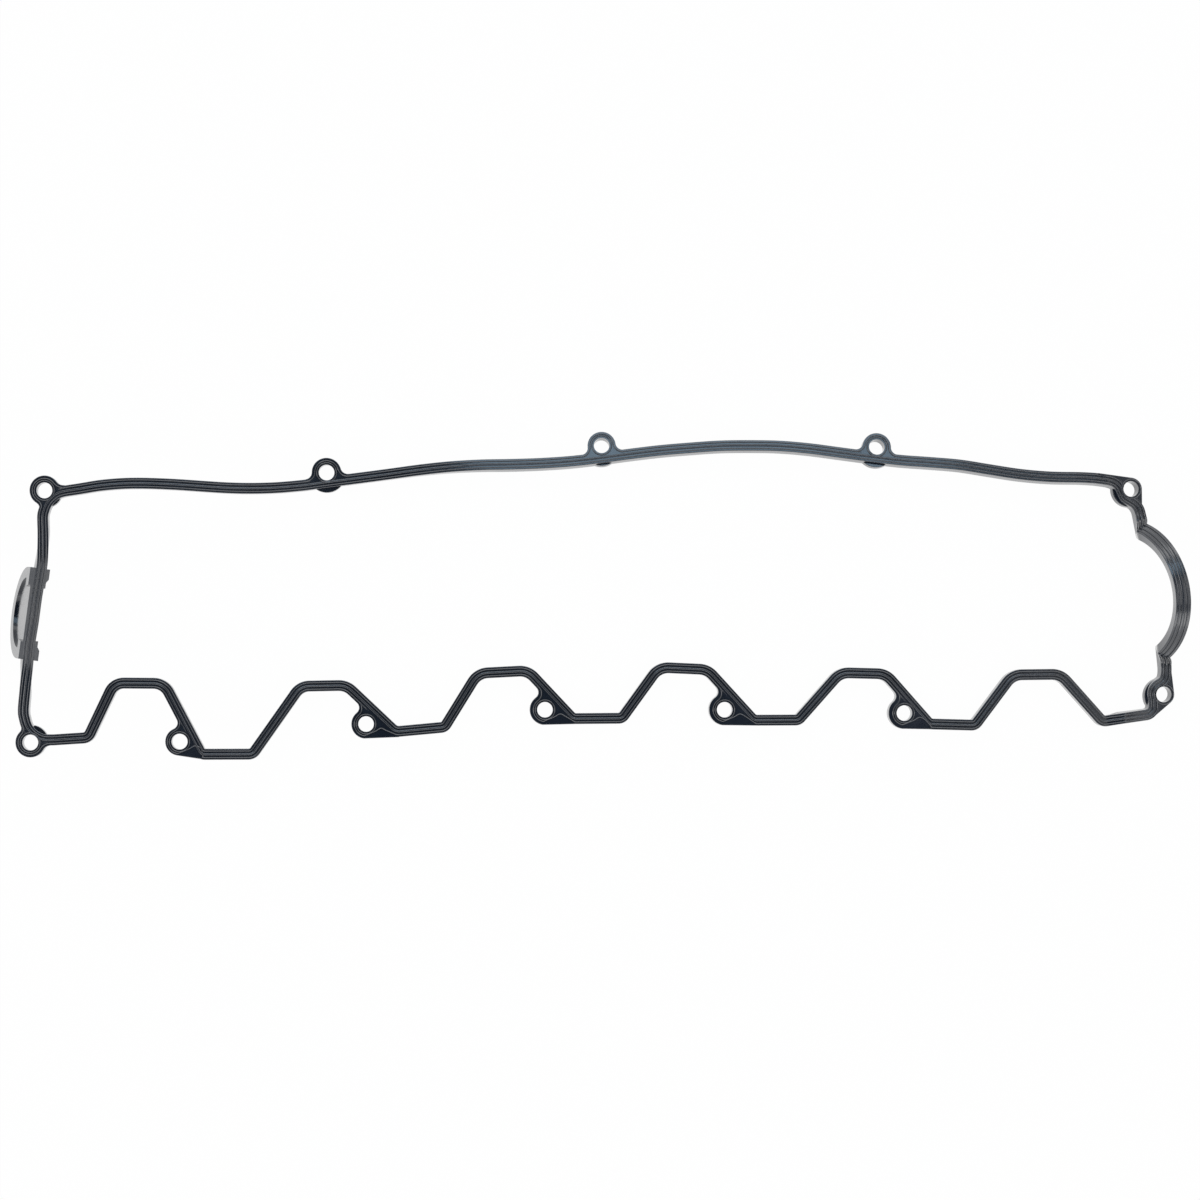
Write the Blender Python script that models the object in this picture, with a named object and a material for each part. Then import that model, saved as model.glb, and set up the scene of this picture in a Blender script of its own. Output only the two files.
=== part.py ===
"""Valve cover gasket for a six cylinder engine, one moulded rubber ring, metres and +Z up."""

import math

import bmesh
import bpy
from mathutils import Matrix, Vector

for item in list(bpy.data.objects):
    bpy.data.objects.remove(item, do_unlink=True)

MM = 0.001

# Section of the sealing strip, in millimetres
STRIP_WIDTH = 5.5
LAND_HEIGHT = 5.7
RIB_RISE = 0.6
RIB_ROOT = 0.3
CENTRE_RIB = 1.6
EDGE_RIB = 0.75
EDGE_RIB_OFFSET = 1.6
FULL_HEIGHT = LAND_HEIGHT + RIB_RISE

# Bolt eyelets
HOLE_RADIUS = 3.92
RING_RIB_RADIUS = 4.95
DETOUR_RADIUS = 5.9
LUG_STEP = 0.1
FLANGE_HEIGHT = 3.4
HOLE_SIDES = 22
NOTCH_FILLET = 3.3
FLARE = 3.6
RIB_INSET = STRIP_WIDTH / 2 - EDGE_RIB_OFFSET

# Arch over the camshaft seal at the right end
ARCH_RADIUS = 36.9
ARCH_LEAN = 29.0
ARCH_CONE = 29.0
ARCH_DROP = 9.6
ARCH_SETBACK = 5.0
ARCH_FOOT = 33.2
ARCH_WIDTH = 7.5
ARCH_STEPS = 18
HEEL = 6.0
BEND_REACH = 5.0

# Half-moon plug at the left end
PLUG_RADIUS = 22.9
PLUG_BAND = 5.4
PLUG_OUTER = 4.6
PLUG_INNER = 5.4
PLUG_LEAN = 22.0
WEB_OUTER = 3.4
WEB_INNER = 2.0
SHOULDER = 8.4
SHOULDER_SLOPE = 1.3
SHOULDER_TAPER = 3.5
SHOULDER_FOOT = 0.4

# Lie of the soft ring: roll of the strip and rise of the left end over the plug
TOP_ROLL = 9.0
RIGHT_ROLL = 5.0
LIFT_PLATEAU = -262.0
LIFT_END = -100.0
LIFT = 23.4

# Bolt hole centres
HOLE_TL = (-276.9, 52.3)
HOLE_T1 = (-138.0, 62.7)
HOLE_T2 = (0.6, 76.7)
HOLE_T3 = (139.4, 75.9)
HOLE_TR = (267.7, 54.6)
HOLE_BR = (284.3, -49.1)
HOLE_B5 = (153.5, -58.5)
HOLE_B4 = (62.8, -56.8)
HOLE_B3 = (-27.9, -56.8)
HOLE_B2 = (-118.2, -64.0)
HOLE_B1 = (-210.5, -72.4)
HOLE_BL = (-283.9, -72.7)

# Corners of the side that goes round the inlet ports: x, y and fillet radius
ZIGZAG = [
    (-272.4, -71.4, 3.0), (-255.3, -70.3, 4.0),
    (-242.5, -43.2, 7.5), (-218.1, -43.4, 8.5),
    (-199.9, -78.8, 3.0), (-174.7, -78.9, 4.0),
    (-151.0, -44.9, 8.5), (-128.1, -44.5, 9.5),
    (-103.4, -67.9, 5.0), (-78.6, -65.6, 3.5),
    (-61.8, -38.4, 9.5), (-36.5, -37.1, 9.5),
    (-13.8, -61.3, 4.0), (11.0, -61.1, 3.5),
    (29.6, -35.4, 9.5), (54.1, -36.5, 9.5),
    (77.5, -62.1, 4.0), (100.1, -62.0, 3.5),
    (121.2, -38.1, 9.5), (144.1, -38.7, 9.5),
    (166.3, -64.0, 4.0), (189.2, -64.6, 3.5),
    (208.2, -39.2, 9.5), (232.4, -38.9, 9.5),
    (253.6, -62.7, 3.5), (279.4, -58.9, 4.6),
    (279.2, -51.7, 0.0),
]

# Inner side of the lower right eyelet, then the short strip up to the arch
RIGHT_LOW = [(279.2, -51.7), (278.7, -49.1), (279.3, -46.6), (280.8, -44.7),
             (282.6, -43.6), (284.3, -42.1), (285.2, -40.0), (285.5, -37.0)]
SPRING_LOW = (285.4, -30.6)
SPRING_HIGH = (273.7, 36.6)
RIGHT_HIGH = [(272.7, 41.0), (271.8, 44.2), (269.9, 47.0), (267.0, 48.9),
              (264.6, 50.4), (263.2, 52.8), (262.0, 55.5), (259.8, 57.8),
              (256.8, 59.0), (253.4, 59.6)]

# Long gently waved strip, from the right end to the left end
TOP = [
    (249.4, 60.1), (241.9, 60.5), (226.7, 60.8), (211.6, 62.1), (196.5, 64.4),
    (181.3, 66.8), (166.2, 68.1), (151.1, 69.2), (136.0, 71.0), (120.8, 73.0),
    (105.7, 75.0), (90.6, 76.3), (75.4, 76.6), (60.3, 76.4), (45.2, 75.4),
    (30.0, 74.1), (14.9, 72.3), (-0.2, 70.3), (-15.4, 68.6), (-30.5, 67.6),
    (-45.6, 67.1), (-60.8, 66.8), (-75.9, 65.9), (-90.9, 64.3),
    (-107.0, 62.1), (-126.7, 59.4), (-139.0, 57.7), (-151.5, 55.9),
    (-167.5, 54.5), (-186.5, 54.3), (-214.3, 55.7), (-233.2, 56.0),
    (-247.5, 55.0), (-259.4, 53.1),
]

# Inner side of the upper left eyelet, then the left strip down to the last eyelet
LEFT = [
    (-266.0, 52.1), (-268.4, 51.6), (-270.9, 50.6), (-273.1, 49.0), (-274.9, 47.1),
    (-276.2, 45.0), (-277.1, 42.6), (-277.8, 39.3),
    (-277.6, 31.4), (-277.5, 22.2), (-277.8, 15.3), (-279.3, 6.0), (-280.6, -2.0),
    (-282.1, -13.0), (-283.9, -24.2), (-285.0, -35.0), (-286.3, -45.0),
    (-287.4, -56.6), (-286.7, -61.5), (-285.8, -64.4), (-284.4, -66.7), (-282.5, -68.7),
    (-280.0, -70.3), (-277.0, -71.3),
]
PLUG_CENTRE = (-282.1, -9.0)
PLUG_CHORD_TILT = 7.6


def unit(x, y):
    """Direction of a plan vector."""
    size = math.hypot(x, y)
    return x / size, y / size


def rounded(corners):
    """Plan path through the corners, each turned into an arc of its own radius."""
    path = [corners[0][:2]]
    for before, here, after in zip(corners, corners[1:], corners[2:]):
        ax, ay = unit(before[0] - here[0], before[1] - here[1])
        bx, by = unit(after[0] - here[0], after[1] - here[1])
        half = math.acos(max(-1.0, min(1.0, ax * bx + ay * by))) / 2
        reach = here[2] / math.tan(half)
        mx, my = unit(ax + bx, ay + by)
        cx = here[0] + mx * here[2] / math.sin(half)
        cy = here[1] + my * here[2] / math.sin(half)
        start = math.atan2(here[1] + ay * reach - cy, here[0] + ax * reach - cx)
        end = math.atan2(here[1] + by * reach - cy, here[0] + bx * reach - cx)
        turn = (end - start + math.pi) % math.tau - math.pi
        steps = max(3, round(abs(turn) / math.radians(15)))
        for step in range(steps + 1):
            angle = start + turn * step / steps
            path.append((cx + here[2] * math.cos(angle), cy + here[2] * math.sin(angle)))
    path.append(corners[-1][:2])
    return path


def smooth(points, steps):
    """Curve that runs through every plan point."""
    path = []
    for k in range(len(points) - 1):
        a = points[max(k - 1, 0)]
        b = points[k]
        c = points[k + 1]
        d = points[min(k + 2, len(points) - 1)]
        for step in range(steps):
            t = step / steps
            path.append(tuple(
                0.5 * (2 * q + (r - p) * t + (2 * p - 5 * q + 4 * r - s) * t * t
                       + (3 * q - p - 3 * r + s) * t * t * t)
                for p, q, r, s in zip(a, b, c, d)))
    path.append(points[-1])
    return path


def ease(value, low, high):
    """Soft step from 0 at low to 1 at high."""
    t = max(0.0, min(1.0, (value - low) / (high - low)))
    return t * t * (3 - 2 * t)


def roll_at(x, y):
    """Roll of the strip in radians, positive where its top looks outwards."""
    if x < -255:
        near = 1 - ease(abs(y - PLUG_CENTRE[1]), 22.0, 42.0)
        return -math.radians(PLUG_LEAN) * near
    if y > 45 or x > 262:
        side = ease(x, 255.0, 275.0)
        full = TOP_ROLL * (1 - side) + RIGHT_ROLL * side
        return math.radians(full) * ease(x, -110.0, -40.0)
    return 0.0


def lift_at(x):
    """Rise of the ring towards the end that rests on the plug."""
    return LIFT * (1 - ease(x, LIFT_PLATEAU, LIFT_END))


class Station:
    """One section of the strip: its underside, its top, its outward direction and width."""

    def __init__(self, bottom, top, out, scale=1.0, low_out=None):
        self.bottom = Vector(bottom)
        self.top = Vector(top)
        self.out = Vector(out)
        self.scale = scale
        self.low_out = low_out or self.out * scale

    def at(self, offset, height):
        low = self.bottom + self.low_out * offset
        high = self.top + self.out * offset * self.scale
        return low.lerp(high, height / FULL_HEIGHT)


def flat_station(x, y, tx, ty):
    """Section of the flat part of the ring, with its roll."""
    roll = roll_at(x, y)
    raised = 13.5 * math.sin(max(roll, 0.0))
    normal = Vector((ty, -tx, 0))
    up = Vector((0, 0, 1)) * math.cos(roll) + normal * math.sin(roll)
    out = normal * math.cos(roll) - Vector((0, 0, 1)) * math.sin(roll)
    top = Vector((x, y, FULL_HEIGHT * math.cos(roll) + raised))
    return Station(top - up * FULL_HEIGHT, top, out)


def stations_on(path):
    """Sections along an open plan path."""
    made = []
    for k, (x, y) in enumerate(path):
        a = path[max(k - 1, 0)]
        b = path[min(k + 1, len(path) - 1)]
        tx, ty = unit(b[0] - a[0], b[1] - a[1])
        made.append(flat_station(x, y, tx, ty))
    return made


def arch_stations():
    """Sections of the arch, which rises, leans outwards and has a conical ribbed face."""
    low = Vector((*SPRING_LOW, 0))
    high = Vector((*SPRING_HIGH, 0))
    along = (high - low).normalized()
    side = Vector((along.y, -along.x, 0))
    base = flat_station(*SPRING_LOW, along.x, along.y).top.z
    lean = math.radians(ARCH_LEAN)
    cone = math.radians(ARCH_CONE)
    rise = Vector((0, 0, 1))
    crown = side * math.sin(lean) + rise * math.cos(lean)
    axle = side * math.cos(lean) - rise * math.sin(lean)
    middle = (low + high) / 2
    middle.z = base
    centre = middle - crown * (ARCH_DROP / math.cos(lean)) - side * ARCH_SETBACK
    made = []
    limit = math.asin(min(1.0, ARCH_FOOT / ARCH_RADIUS))
    for step in range(ARCH_STEPS + 1):
        angle = -limit + 2 * limit * step / ARCH_STEPS
        radial = crown * math.cos(angle) + along * math.sin(angle)
        out = axle * math.cos(cone) + radial * math.sin(cone)
        up = radial * math.cos(cone) - axle * math.sin(cone)
        top = centre + radial * ARCH_RADIUS
        made.append(Station(top - up * FULL_HEIGHT, top, out, ARCH_WIDTH / STRIP_WIDTH))
    return made, along


def springing(flat, spring, arch, along):
    """Mitre between strip and arch: a sharp heel below and a soft bend above."""
    tip = spring.bottom + along * HEEL
    corner = spring.top - along * 1.6
    bend = []
    for part in (0.2, 0.4, 0.6, 0.8):
        top = flat.top.lerp(corner, part).lerp(corner.lerp(arch.top, part), part)
        out = flat.out.lerp(arch.out, part).normalized()
        scale = 1 + (arch.scale - 1) * part
        bend.append(Station(tip, top, out, scale, flat.out))
    return bend


def ring_stations():
    """All sections of the closed ring, counter-clockwise seen from above."""
    low = smooth(RIGHT_LOW + [SPRING_LOW], 2)
    high = [SPRING_HIGH] + RIGHT_HIGH + TOP[:-1]
    high += TOP[-1:] + LEFT + [ZIGZAG[0][:2]]
    first = stations_on(rounded(ZIGZAG)[:-1] + low)
    last = stations_on(high[:-1])
    low_end = first[-1]
    high_end = last[0]
    first = [s for s in first if (s.top - low_end.top).length > BEND_REACH]
    last = [s for s in last if (s.top - high_end.top).length > BEND_REACH]
    arch, along = arch_stations()
    start = springing(first[-1], low_end, arch[0], along)
    end = springing(last[0], high_end, arch[-1], -along)
    return first + start + arch + end[::-1] + last


def mesh_object(name, bm):
    """Closed mesh object with outward faces, in the workshop collection."""
    bmesh.ops.remove_doubles(bm, verts=bm.verts, dist=0.004)
    bmesh.ops.recalc_face_normals(bm, faces=bm.faces)
    mesh = bpy.data.meshes.new(name)
    bm.to_mesh(mesh)
    bm.free()
    made = bpy.data.objects.new(name, mesh)
    bpy.context.scene.collection.objects.link(made)
    return made


def swept(name, rows, closed=True):
    """Solid through rows of section points."""
    bm = bmesh.new()
    rings = []
    for row in rows:
        rings.append([bm.verts.new(point) for point in row])
    count = len(rings[0])
    pairs = list(zip(rings, rings[1:]))
    if closed:
        pairs.append((rings[-1], rings[0]))
    for a, b in pairs:
        for k in range(count):
            j = (k + 1) % count
            bm.faces.new((a[k], a[j], b[j], b[k]))
    if not closed:
        bm.faces.new(rings[0])
        bm.faces.new(rings[-1])
    return mesh_object(name, bm)


def prism(name, outline, low, high):
    """Plate with a plan outline between two heights."""
    bm = bmesh.new()
    base = bm.faces.new([bm.verts.new((x, y, low)) for x, y in outline])
    grown = bmesh.ops.extrude_face_region(bm, geom=[base])
    rise = [item for item in grown["geom"] if isinstance(item, bmesh.types.BMVert)]
    bmesh.ops.translate(bm, verts=rise, vec=(0, 0, high - low))
    return mesh_object(name, bm)


def arc(cx, cy, radius, start, end, steps):
    """Points on a plan arc, angles in degrees."""
    points = []
    for k in range(steps + 1):
        angle = math.radians(start + (end - start) * k / steps)
        points.append((cx + radius * math.cos(angle), cy + radius * math.sin(angle)))
    return points


def combine(target, tool, operation, solver="EXACT"):
    """Boolean of two solids, keeping the first."""
    step = target.modifiers.new("Join", "BOOLEAN")
    step.operation = operation
    step.solver = solver
    step.object = tool
    graph = bpy.context.evaluated_depsgraph_get()
    result = bpy.data.meshes.new_from_object(target.evaluated_get(graph))
    target.modifiers.remove(step)
    old = target.data
    target.data = result
    bpy.data.meshes.remove(old)
    bpy.data.objects.remove(tool, do_unlink=True)


def nearest(stations, x, y):
    """Section closest in plan to a point."""
    return min(stations, key=lambda s: (s.top.x - x) ** 2 + (s.top.y - y) ** 2)


def laid(station, x, y, height):
    """Carries a flat plan point and height to the rolled place of its section."""
    out = Vector((station.out.x, station.out.y, 0)).normalized()
    along = Vector((-out.y, out.x, 0))
    shift = Vector((x - station.top.x, y - station.top.y, 0))
    up = (station.top - station.bottom) / FULL_HEIGHT
    place = station.bottom + up * height
    return place + station.out * shift.dot(out) + along * shift.dot(along)


def lay_down(solid, station):
    """Places a flat plate rigidly on its section of the ring."""
    for vertex in solid.data.vertices:
        vertex.co = laid(station, vertex.co.x, vertex.co.y, vertex.co.z)


def rib(offset, width, rise):
    """One rib of the section, from its outer foot to its inner foot."""
    foot = width / 2
    top = LAND_HEIGHT + rise
    crest = [(offset, top)]
    if width > 1.0:
        crest = [(offset + foot - 0.3, top), (offset - foot + 0.3, top)]
    return [(offset + foot, LAND_HEIGHT)] + crest + [(offset - foot, LAND_HEIGHT)]


def section(outer_rise):
    """Strip section with its three ribs, counter-clockwise from the inner bottom corner."""
    half = STRIP_WIDTH / 2
    points = [(-half, 0.0), (half, 0.0), (half, LAND_HEIGHT)]
    points += rib(EDGE_RIB_OFFSET, EDGE_RIB, outer_rise)
    points += rib(0.0, CENTRE_RIB, RIB_RISE)
    points += rib(-EDGE_RIB_OFFSET, EDGE_RIB, RIB_RISE)
    return points + [(-half, LAND_HEIGHT)]


def path_rib_rows(path, stations, width, closed):
    """Section rows of a rib on a free plan path across an eyelet."""
    rows = []
    count = len(path)
    for k, (x, y) in enumerate(path):
        a = path[(k - 1) % count] if closed else path[max(k - 1, 0)]
        b = path[(k + 1) % count] if closed else path[min(k + 1, count - 1)]
        tx, ty = unit(b[0] - a[0], b[1] - a[1])
        station = stations if isinstance(stations, Station) else nearest(stations, x, y)
        row = []
        spread = width / 2 * (RIB_RISE + RIB_ROOT) / RIB_RISE
        for o, h in ((-spread, LAND_HEIGHT - RIB_ROOT), (spread, LAND_HEIGHT - RIB_ROOT),
                     (0.0, FULL_HEIGHT)):
            row.append(laid(station, x + ty * o, y - tx * o, h))
        rows.append(row)
    return rows


def edge_index(stations, x, y):
    """Number of the section whose outer rib is closest to a plan point."""
    def gap(k):
        place = stations[k].at(EDGE_RIB_OFFSET, FULL_HEIGHT)
        return (place.x - x) ** 2 + (place.y - y) ** 2
    return min(range(len(stations)), key=gap)


# Eyelets of the port side with their radii, and those of the long strip
LOWER_LUGS = [(HOLE_B1, 7.0), (HOLE_B2, 7.4), (HOLE_B3, 7.7), (HOLE_B4, 7.9),
              (HOLE_B5, 8.0)]
UPPER_LUGS = [(HOLE_T1, 7.4), (HOLE_T2, 7.1), (HOLE_T3, 7.2)]

# Left corner eyelets: hole, radius, the outer edges that run up to it with their fillets,
# points inside the strip, reach and turn of the low inner flange
CORNER_LUGS = [
    (HOLE_TL, 7.4, (-259.4, 55.7, -267.2, 54.9, 4.2), (-280.6, 38.3, -279.4, 43.6, 2.8),
     [(-277.4, 41.5), (-276.2, 45.0), (-273.1, 49.0), (-268.4, 51.6)], 8.6, (-24, -72)),
    (HOLE_BL, 7.4, (-290.2, -56.6, -288.8, -63.6, 2.5), (-263.3, -73.65, -274.0, -74.2, 4.2),
     [(-272.4, -71.4), (-280.0, -70.3), (-282.5, -68.7), (-284.4, -66.7), (-286.2, -63.5)],
     8.7, (78, 22)),
]

# Right corner eyelets: hole, radius, points of the straight edges that run up to it, then
# centre, reach, turn and root of the low inner flange
END_LUGS = [
    (HOLE_TR, 5.8, [(273.4, 42.0), (266.0, 49.0), (262.0, 55.0), (251.0, 62.5)],
     (267.7, 54.6), 8.9, (172, 268), [(269.6, 47.2), (264.6, 50.4), (262.2, 55.8)]),
    (HOLE_BR, 5.5, [(280.4, -59.6), (279.6, -50.0), (283.0, -43.5), (288.3, -37.5)],
     (284.3, -49.9), 9.2, (112, 218), [(279.2, -54.0), (279.3, -46.6), (283.4, -43.0)]),
]

# Last bend of the outer rib between a port side eyelet and the trough, from the hole
RIB_BEND = [(4.4, -3.7), (7.6, -2.1), (10.4, -3.3)]


def lower_run(hole):
    """Trough corner beside an eyelet, and the direction of the run that comes down to it."""
    gaps = [math.hypot(c[0] - hole[0], c[1] - hole[1]) for c in ZIGZAG]
    trough = gaps.index(min(gaps))
    tx, ty = ZIGZAG[trough][:2]
    hx, hy = ZIGZAG[trough - 1][:2]
    dx, dy = unit(tx - hx, ty - hy)
    return tx, ty, dx, dy


def fillet(hole, ring, x, y, dx, dy, size, side):
    """Hollow arc from a straight edge to the round of an eyelet, and where it meets it."""
    nx = side * dy
    ny = -side * dx
    away = (hole[0] - x) * nx + (hole[1] - y) * ny
    ahead = (hole[0] - x) * dx + (hole[1] - y) * dy
    back = ahead - math.sqrt((ring + size) ** 2 - (away - size) ** 2)
    cx = x + dx * back + nx * size
    cy = y + dy * back + ny * size
    start = math.degrees(math.atan2(-ny, -nx))
    end = math.degrees(math.atan2(hole[1] - cy, hole[0] - cx))
    turn = (end - start + 180) % 360 - 180
    meet = math.degrees(math.atan2(cy - hole[1], cx - hole[0])) % 360
    return arc(cx, cy, size, start, start + turn, 4), meet


def lower_edge(hole, radius, inset):
    """Edge of a port side eyelet from its run, through the notch, to its lowest point."""
    tx, ty, dx, dy = lower_run(hole)
    edge = STRIP_WIDTH / 2 - inset
    ring = DETOUR_RADIUS if inset else radius
    points, meet = fillet(hole, ring, tx + dy * edge, ty - dx * edge, dx, dy,
                          NOTCH_FILLET + inset, 1)
    return points + arc(hole[0], hole[1], ring, meet, 262, 9)[1:]


def corner_edge(hole, radius, before, after, inset):
    """Edge of a left corner eyelet round its outer side, from one strip to the other."""
    ring = DETOUR_RADIUS if inset else radius
    runs = []
    for (ax, ay, bx, by, size), side in ((before, 1), (after, -1)):
        dx, dy = unit(bx - ax, by - ay)
        x = bx - side * dy * inset
        y = by + side * dx * inset
        runs.append(fillet(hole, ring, x, y, dx, dy, size + inset, side))
    (first, start), (last, end) = runs
    sweep = (end - start) % 360
    return first + arc(hole[0], hole[1], ring, start, start + sweep, 13)[1:-1] + last[::-1]


def upper_edge(hole, radius, station, inset):
    """Edge of an eyelet on the long strip, from one soft flare to the other."""
    x, y = hole
    out = Vector((station.out.x, station.out.y, 0)).normalized()
    along = Vector((-out.y, out.x, 0))
    gap = Vector((x - station.top.x, y - station.top.y, 0)).dot(out)
    edge = STRIP_WIDTH / 2 - inset - gap
    flare = FLARE + inset
    ring = DETOUR_RADIUS if inset else radius
    spread = math.sqrt((ring + flare) ** 2 - (edge + flare) ** 2)
    meet = math.degrees(math.atan2(edge + flare, spread))
    points = arc(spread, edge + flare, flare, -90, -180 + meet, 4)
    points += arc(0, 0, ring, meet, 180 - meet, 12)[1:]
    points += arc(-spread, edge + flare, flare, -meet, -90, 4)[1:]
    return [(x + along.x * -p + out.x * q, y + along.y * -p + out.y * q) for p, q in points]


def lower_lug(hole, radius):
    """Eyelet that hangs from a descending run, with its notch and its flat web."""
    tx, ty, dx, dy = lower_run(hole)
    outline = lower_edge(hole, radius, 0.0)
    x, y = outline[0]
    outline += [(tx + 2.0, ty - STRIP_WIDTH / 2), (tx, ty)]
    return outline + [(x - dy * 2.2 - dx * 2.0, y + dx * 2.2 - dy * 2.0)]


def upper_lug(hole, radius, station):
    """Plan outline of an eyelet on the long strip, with its root inside the strip."""
    outline = upper_edge(hole, radius, station, 0.0)
    for x, y in (outline[-1], outline[0]):
        outline.append((x - station.out.x * 2.2, y - station.out.y * 2.2))
    return outline


def rib_spans(stations):
    """Runs of sections whose outer rib leaves the strip, and its way round the eyelet."""
    ways = []
    for hole, radius in LOWER_LUGS:
        tx, ty, dx, dy = lower_run(hole)
        way = lower_edge(hole, radius, RIB_INSET)
        bend = [(hole[0] + p, hole[1] + q) for p, q in RIB_BEND]
        end = (tx + 1.0, ty - EDGE_RIB_OFFSET)
        ways.append((hole, way[:-1] + smooth([way[-1]] + bend + [end], 2)))
    for hole, radius in UPPER_LUGS:
        ways.append((hole, upper_edge(hole, radius, nearest(stations, *hole), RIB_INSET)))
    for hole, radius, before, after, inside, reach, turn in CORNER_LUGS:
        ways.append((hole, corner_edge(hole, radius, before, after, RIB_INSET)))
    spans = []
    for hole, way in ways:
        first = edge_index(stations, *way[0])
        last = edge_index(stations, *way[-1])
        a = stations[first].at(EDGE_RIB_OFFSET, FULL_HEIGHT)
        b = stations[last].at(EDGE_RIB_OFFSET, FULL_HEIGHT)
        spans.append((first, last, [(a.x, a.y)] + way[1:-1] + [(b.x, b.y)], hole))
    return spans


def build():
    """Builds the gasket as one closed solid."""
    stations = ring_stations()
    spans = rib_spans(stations)
    rows = []
    for k, station in enumerate(stations):
        away = any(first < k < last for first, last, path, hole in spans)
        rows.append([station.at(o, h) for o, h in section(0.0 if away else RIB_RISE)])
    body = swept("gasket", rows)

    # Eyelets on the strip round the ports
    for hole, radius in LOWER_LUGS:
        outline = lower_lug(hole, radius)
        lug = prism("lug", outline, LUG_STEP, LAND_HEIGHT - LUG_STEP)
        combine(body, lug, "UNION")

    # Eyelets on the long strip, each with a low flange on the inner side
    for hole, radius in UPPER_LUGS:
        station = nearest(stations, *hole)
        lug = prism("lug", upper_lug(hole, radius, station), LUG_STEP, LAND_HEIGHT - LUG_STEP)
        lay_down(lug, station)
        combine(body, lug, "UNION")
        flange = prism("flange", arc(hole[0], hole[1] - 0.6, 9.4, 218, 322, 10), LUG_STEP,
                       FLANGE_HEIGHT)
        lay_down(flange, station)
        combine(body, flange, "UNION")

    # Corner eyelets, each with a low flange on the inner side
    shapes = []
    for hole, radius, before, after, inside, reach, turn in CORNER_LUGS:
        outline = corner_edge(hole, radius, before, after, 0.0) + inside
        shapes.append((hole, outline, arc(hole[0], hole[1], reach, *turn, 6), inside[1:-1]))
    for hole, radius, ties, middle, reach, turn, root in END_LUGS:
        outline = hull(arc(hole[0], hole[1], radius, 0, 345, 23) + ties)
        shapes.append((hole, outline, arc(middle[0], middle[1], reach, *turn, 9), root))
    for hole, outline, flange, root in shapes:
        station = nearest(stations, *hole)
        lug = prism("lug", outline, LUG_STEP, LAND_HEIGHT - LUG_STEP)
        lay_down(lug, station)
        combine(body, lug, "UNION")
        near = min(root, key=lambda p: math.dist(p, flange[-1]))
        chain = root if near == root[0] else root[::-1]
        plate = prism("flange", flange + chain, 2 * LUG_STEP, FLANGE_HEIGHT)
        lay_down(plate, station)
        combine(body, plate, "UNION")

    add_plug(body, stations)
    cut_holes(body, stations)
    add_ribs(body, stations, spans)
    return body


def hull(points):
    """Convex outline round plan points."""
    ordered = sorted(set(points))
    chains = []
    for run in (ordered, ordered[::-1]):
        chain = []
        for p in run:
            while len(chain) > 1:
                a = chain[-2]
                b = chain[-1]
                if (b[0] - a[0]) * (p[1] - a[1]) - (b[1] - a[1]) * (p[0] - a[0]) > 0:
                    break
                chain.pop()
            chain.append(p)
        chains.append(chain[:-1])
    return chains[0] + chains[1]


def add_plug(body, stations):
    """Half-moon plug under the left strip: an arc band, a web and two shoulders."""
    station = nearest(stations, *PLUG_CENTRE)
    tilt = math.radians(PLUG_CHORD_TILT)
    along = Vector((math.sin(tilt), math.cos(tilt), 0))
    side = Vector((-math.cos(tilt), math.sin(tilt), 0))
    lean = math.radians(PLUG_LEAN)
    up = Vector((0, 0, 1)) * math.cos(lean) - side * math.sin(lean)
    out = side * math.cos(lean) + Vector((0, 0, 1)) * math.sin(lean)
    centre = Vector((*PLUG_CENTRE, station.top.z)) - up * FULL_HEIGHT
    frame = Matrix((-along, up, out)).transposed().to_4x4()
    frame.translation = centre

    def moon(radius, top, near, far):
        points = [(radius, top)] + arc(0, 0, radius, 0, -180, 22) + [(-radius, top)]
        piece = prism("moon", points[::-1], near, far)
        piece.data.transform(frame)
        return piece

    # The band and the shoulders are one block, hollowed from both sides down to the web
    block = moon(PLUG_RADIUS, LAND_HEIGHT - LUG_STEP, -PLUG_INNER, PLUG_OUTER)
    opening = PLUG_RADIUS - PLUG_BAND
    inner = PLUG_RADIUS - SHOULDER
    pocket = [(inner, LAND_HEIGHT + 2.0), (inner - SHOULDER_SLOPE, LUG_STEP)]
    pocket += [(opening, LUG_STEP)] + arc(0, 0, opening, 0, -180, 18)
    pocket += [(-opening, LUG_STEP), (-inner + SHOULDER_SLOPE, LUG_STEP)]
    pocket += [(-inner, LAND_HEIGHT + 2.0)]
    for near, far in ((WEB_OUTER, PLUG_OUTER + 1), (-PLUG_INNER - 1, -WEB_INNER)):
        tool = prism("pocket", pocket[::-1], near, far)
        tool.data.transform(frame)
        combine(block, tool, "DIFFERENCE")

    # On the inner side the shoulders taper towards the middle of the plug
    upright = frame @ Matrix(((1, 0, 0, 0), (0, 0, 1, 0), (0, -1, 0, 0), (0, 0, 0, 1)))
    start = inner - SHOULDER_SLOPE - 0.5
    wedge = [(start, WEB_INNER), (inner + SHOULDER_TAPER, PLUG_INNER + 0.1)]
    wedge += [(start, PLUG_INNER + 0.1)]
    for outline in (wedge, [(-x, y) for x, y in wedge[::-1]]):
        tool = prism("taper", outline, SHOULDER_FOOT, LAND_HEIGHT + 1.0)
        tool.data.transform(upright)
        combine(block, tool, "DIFFERENCE")
    combine(body, block, "UNION")


HOLES = [HOLE_TL, HOLE_T1, HOLE_T2, HOLE_T3, HOLE_TR, HOLE_BR, HOLE_B5, HOLE_B4,
         HOLE_B3, HOLE_B2, HOLE_B1, HOLE_BL]


def ring_of(centre, radius):
    """Full circle round a hole centre."""
    turn = 360 / HOLE_SIDES
    return arc(centre[0], centre[1], radius, turn / 3, 360 - turn * 2 / 3, HOLE_SIDES - 1)


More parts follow.
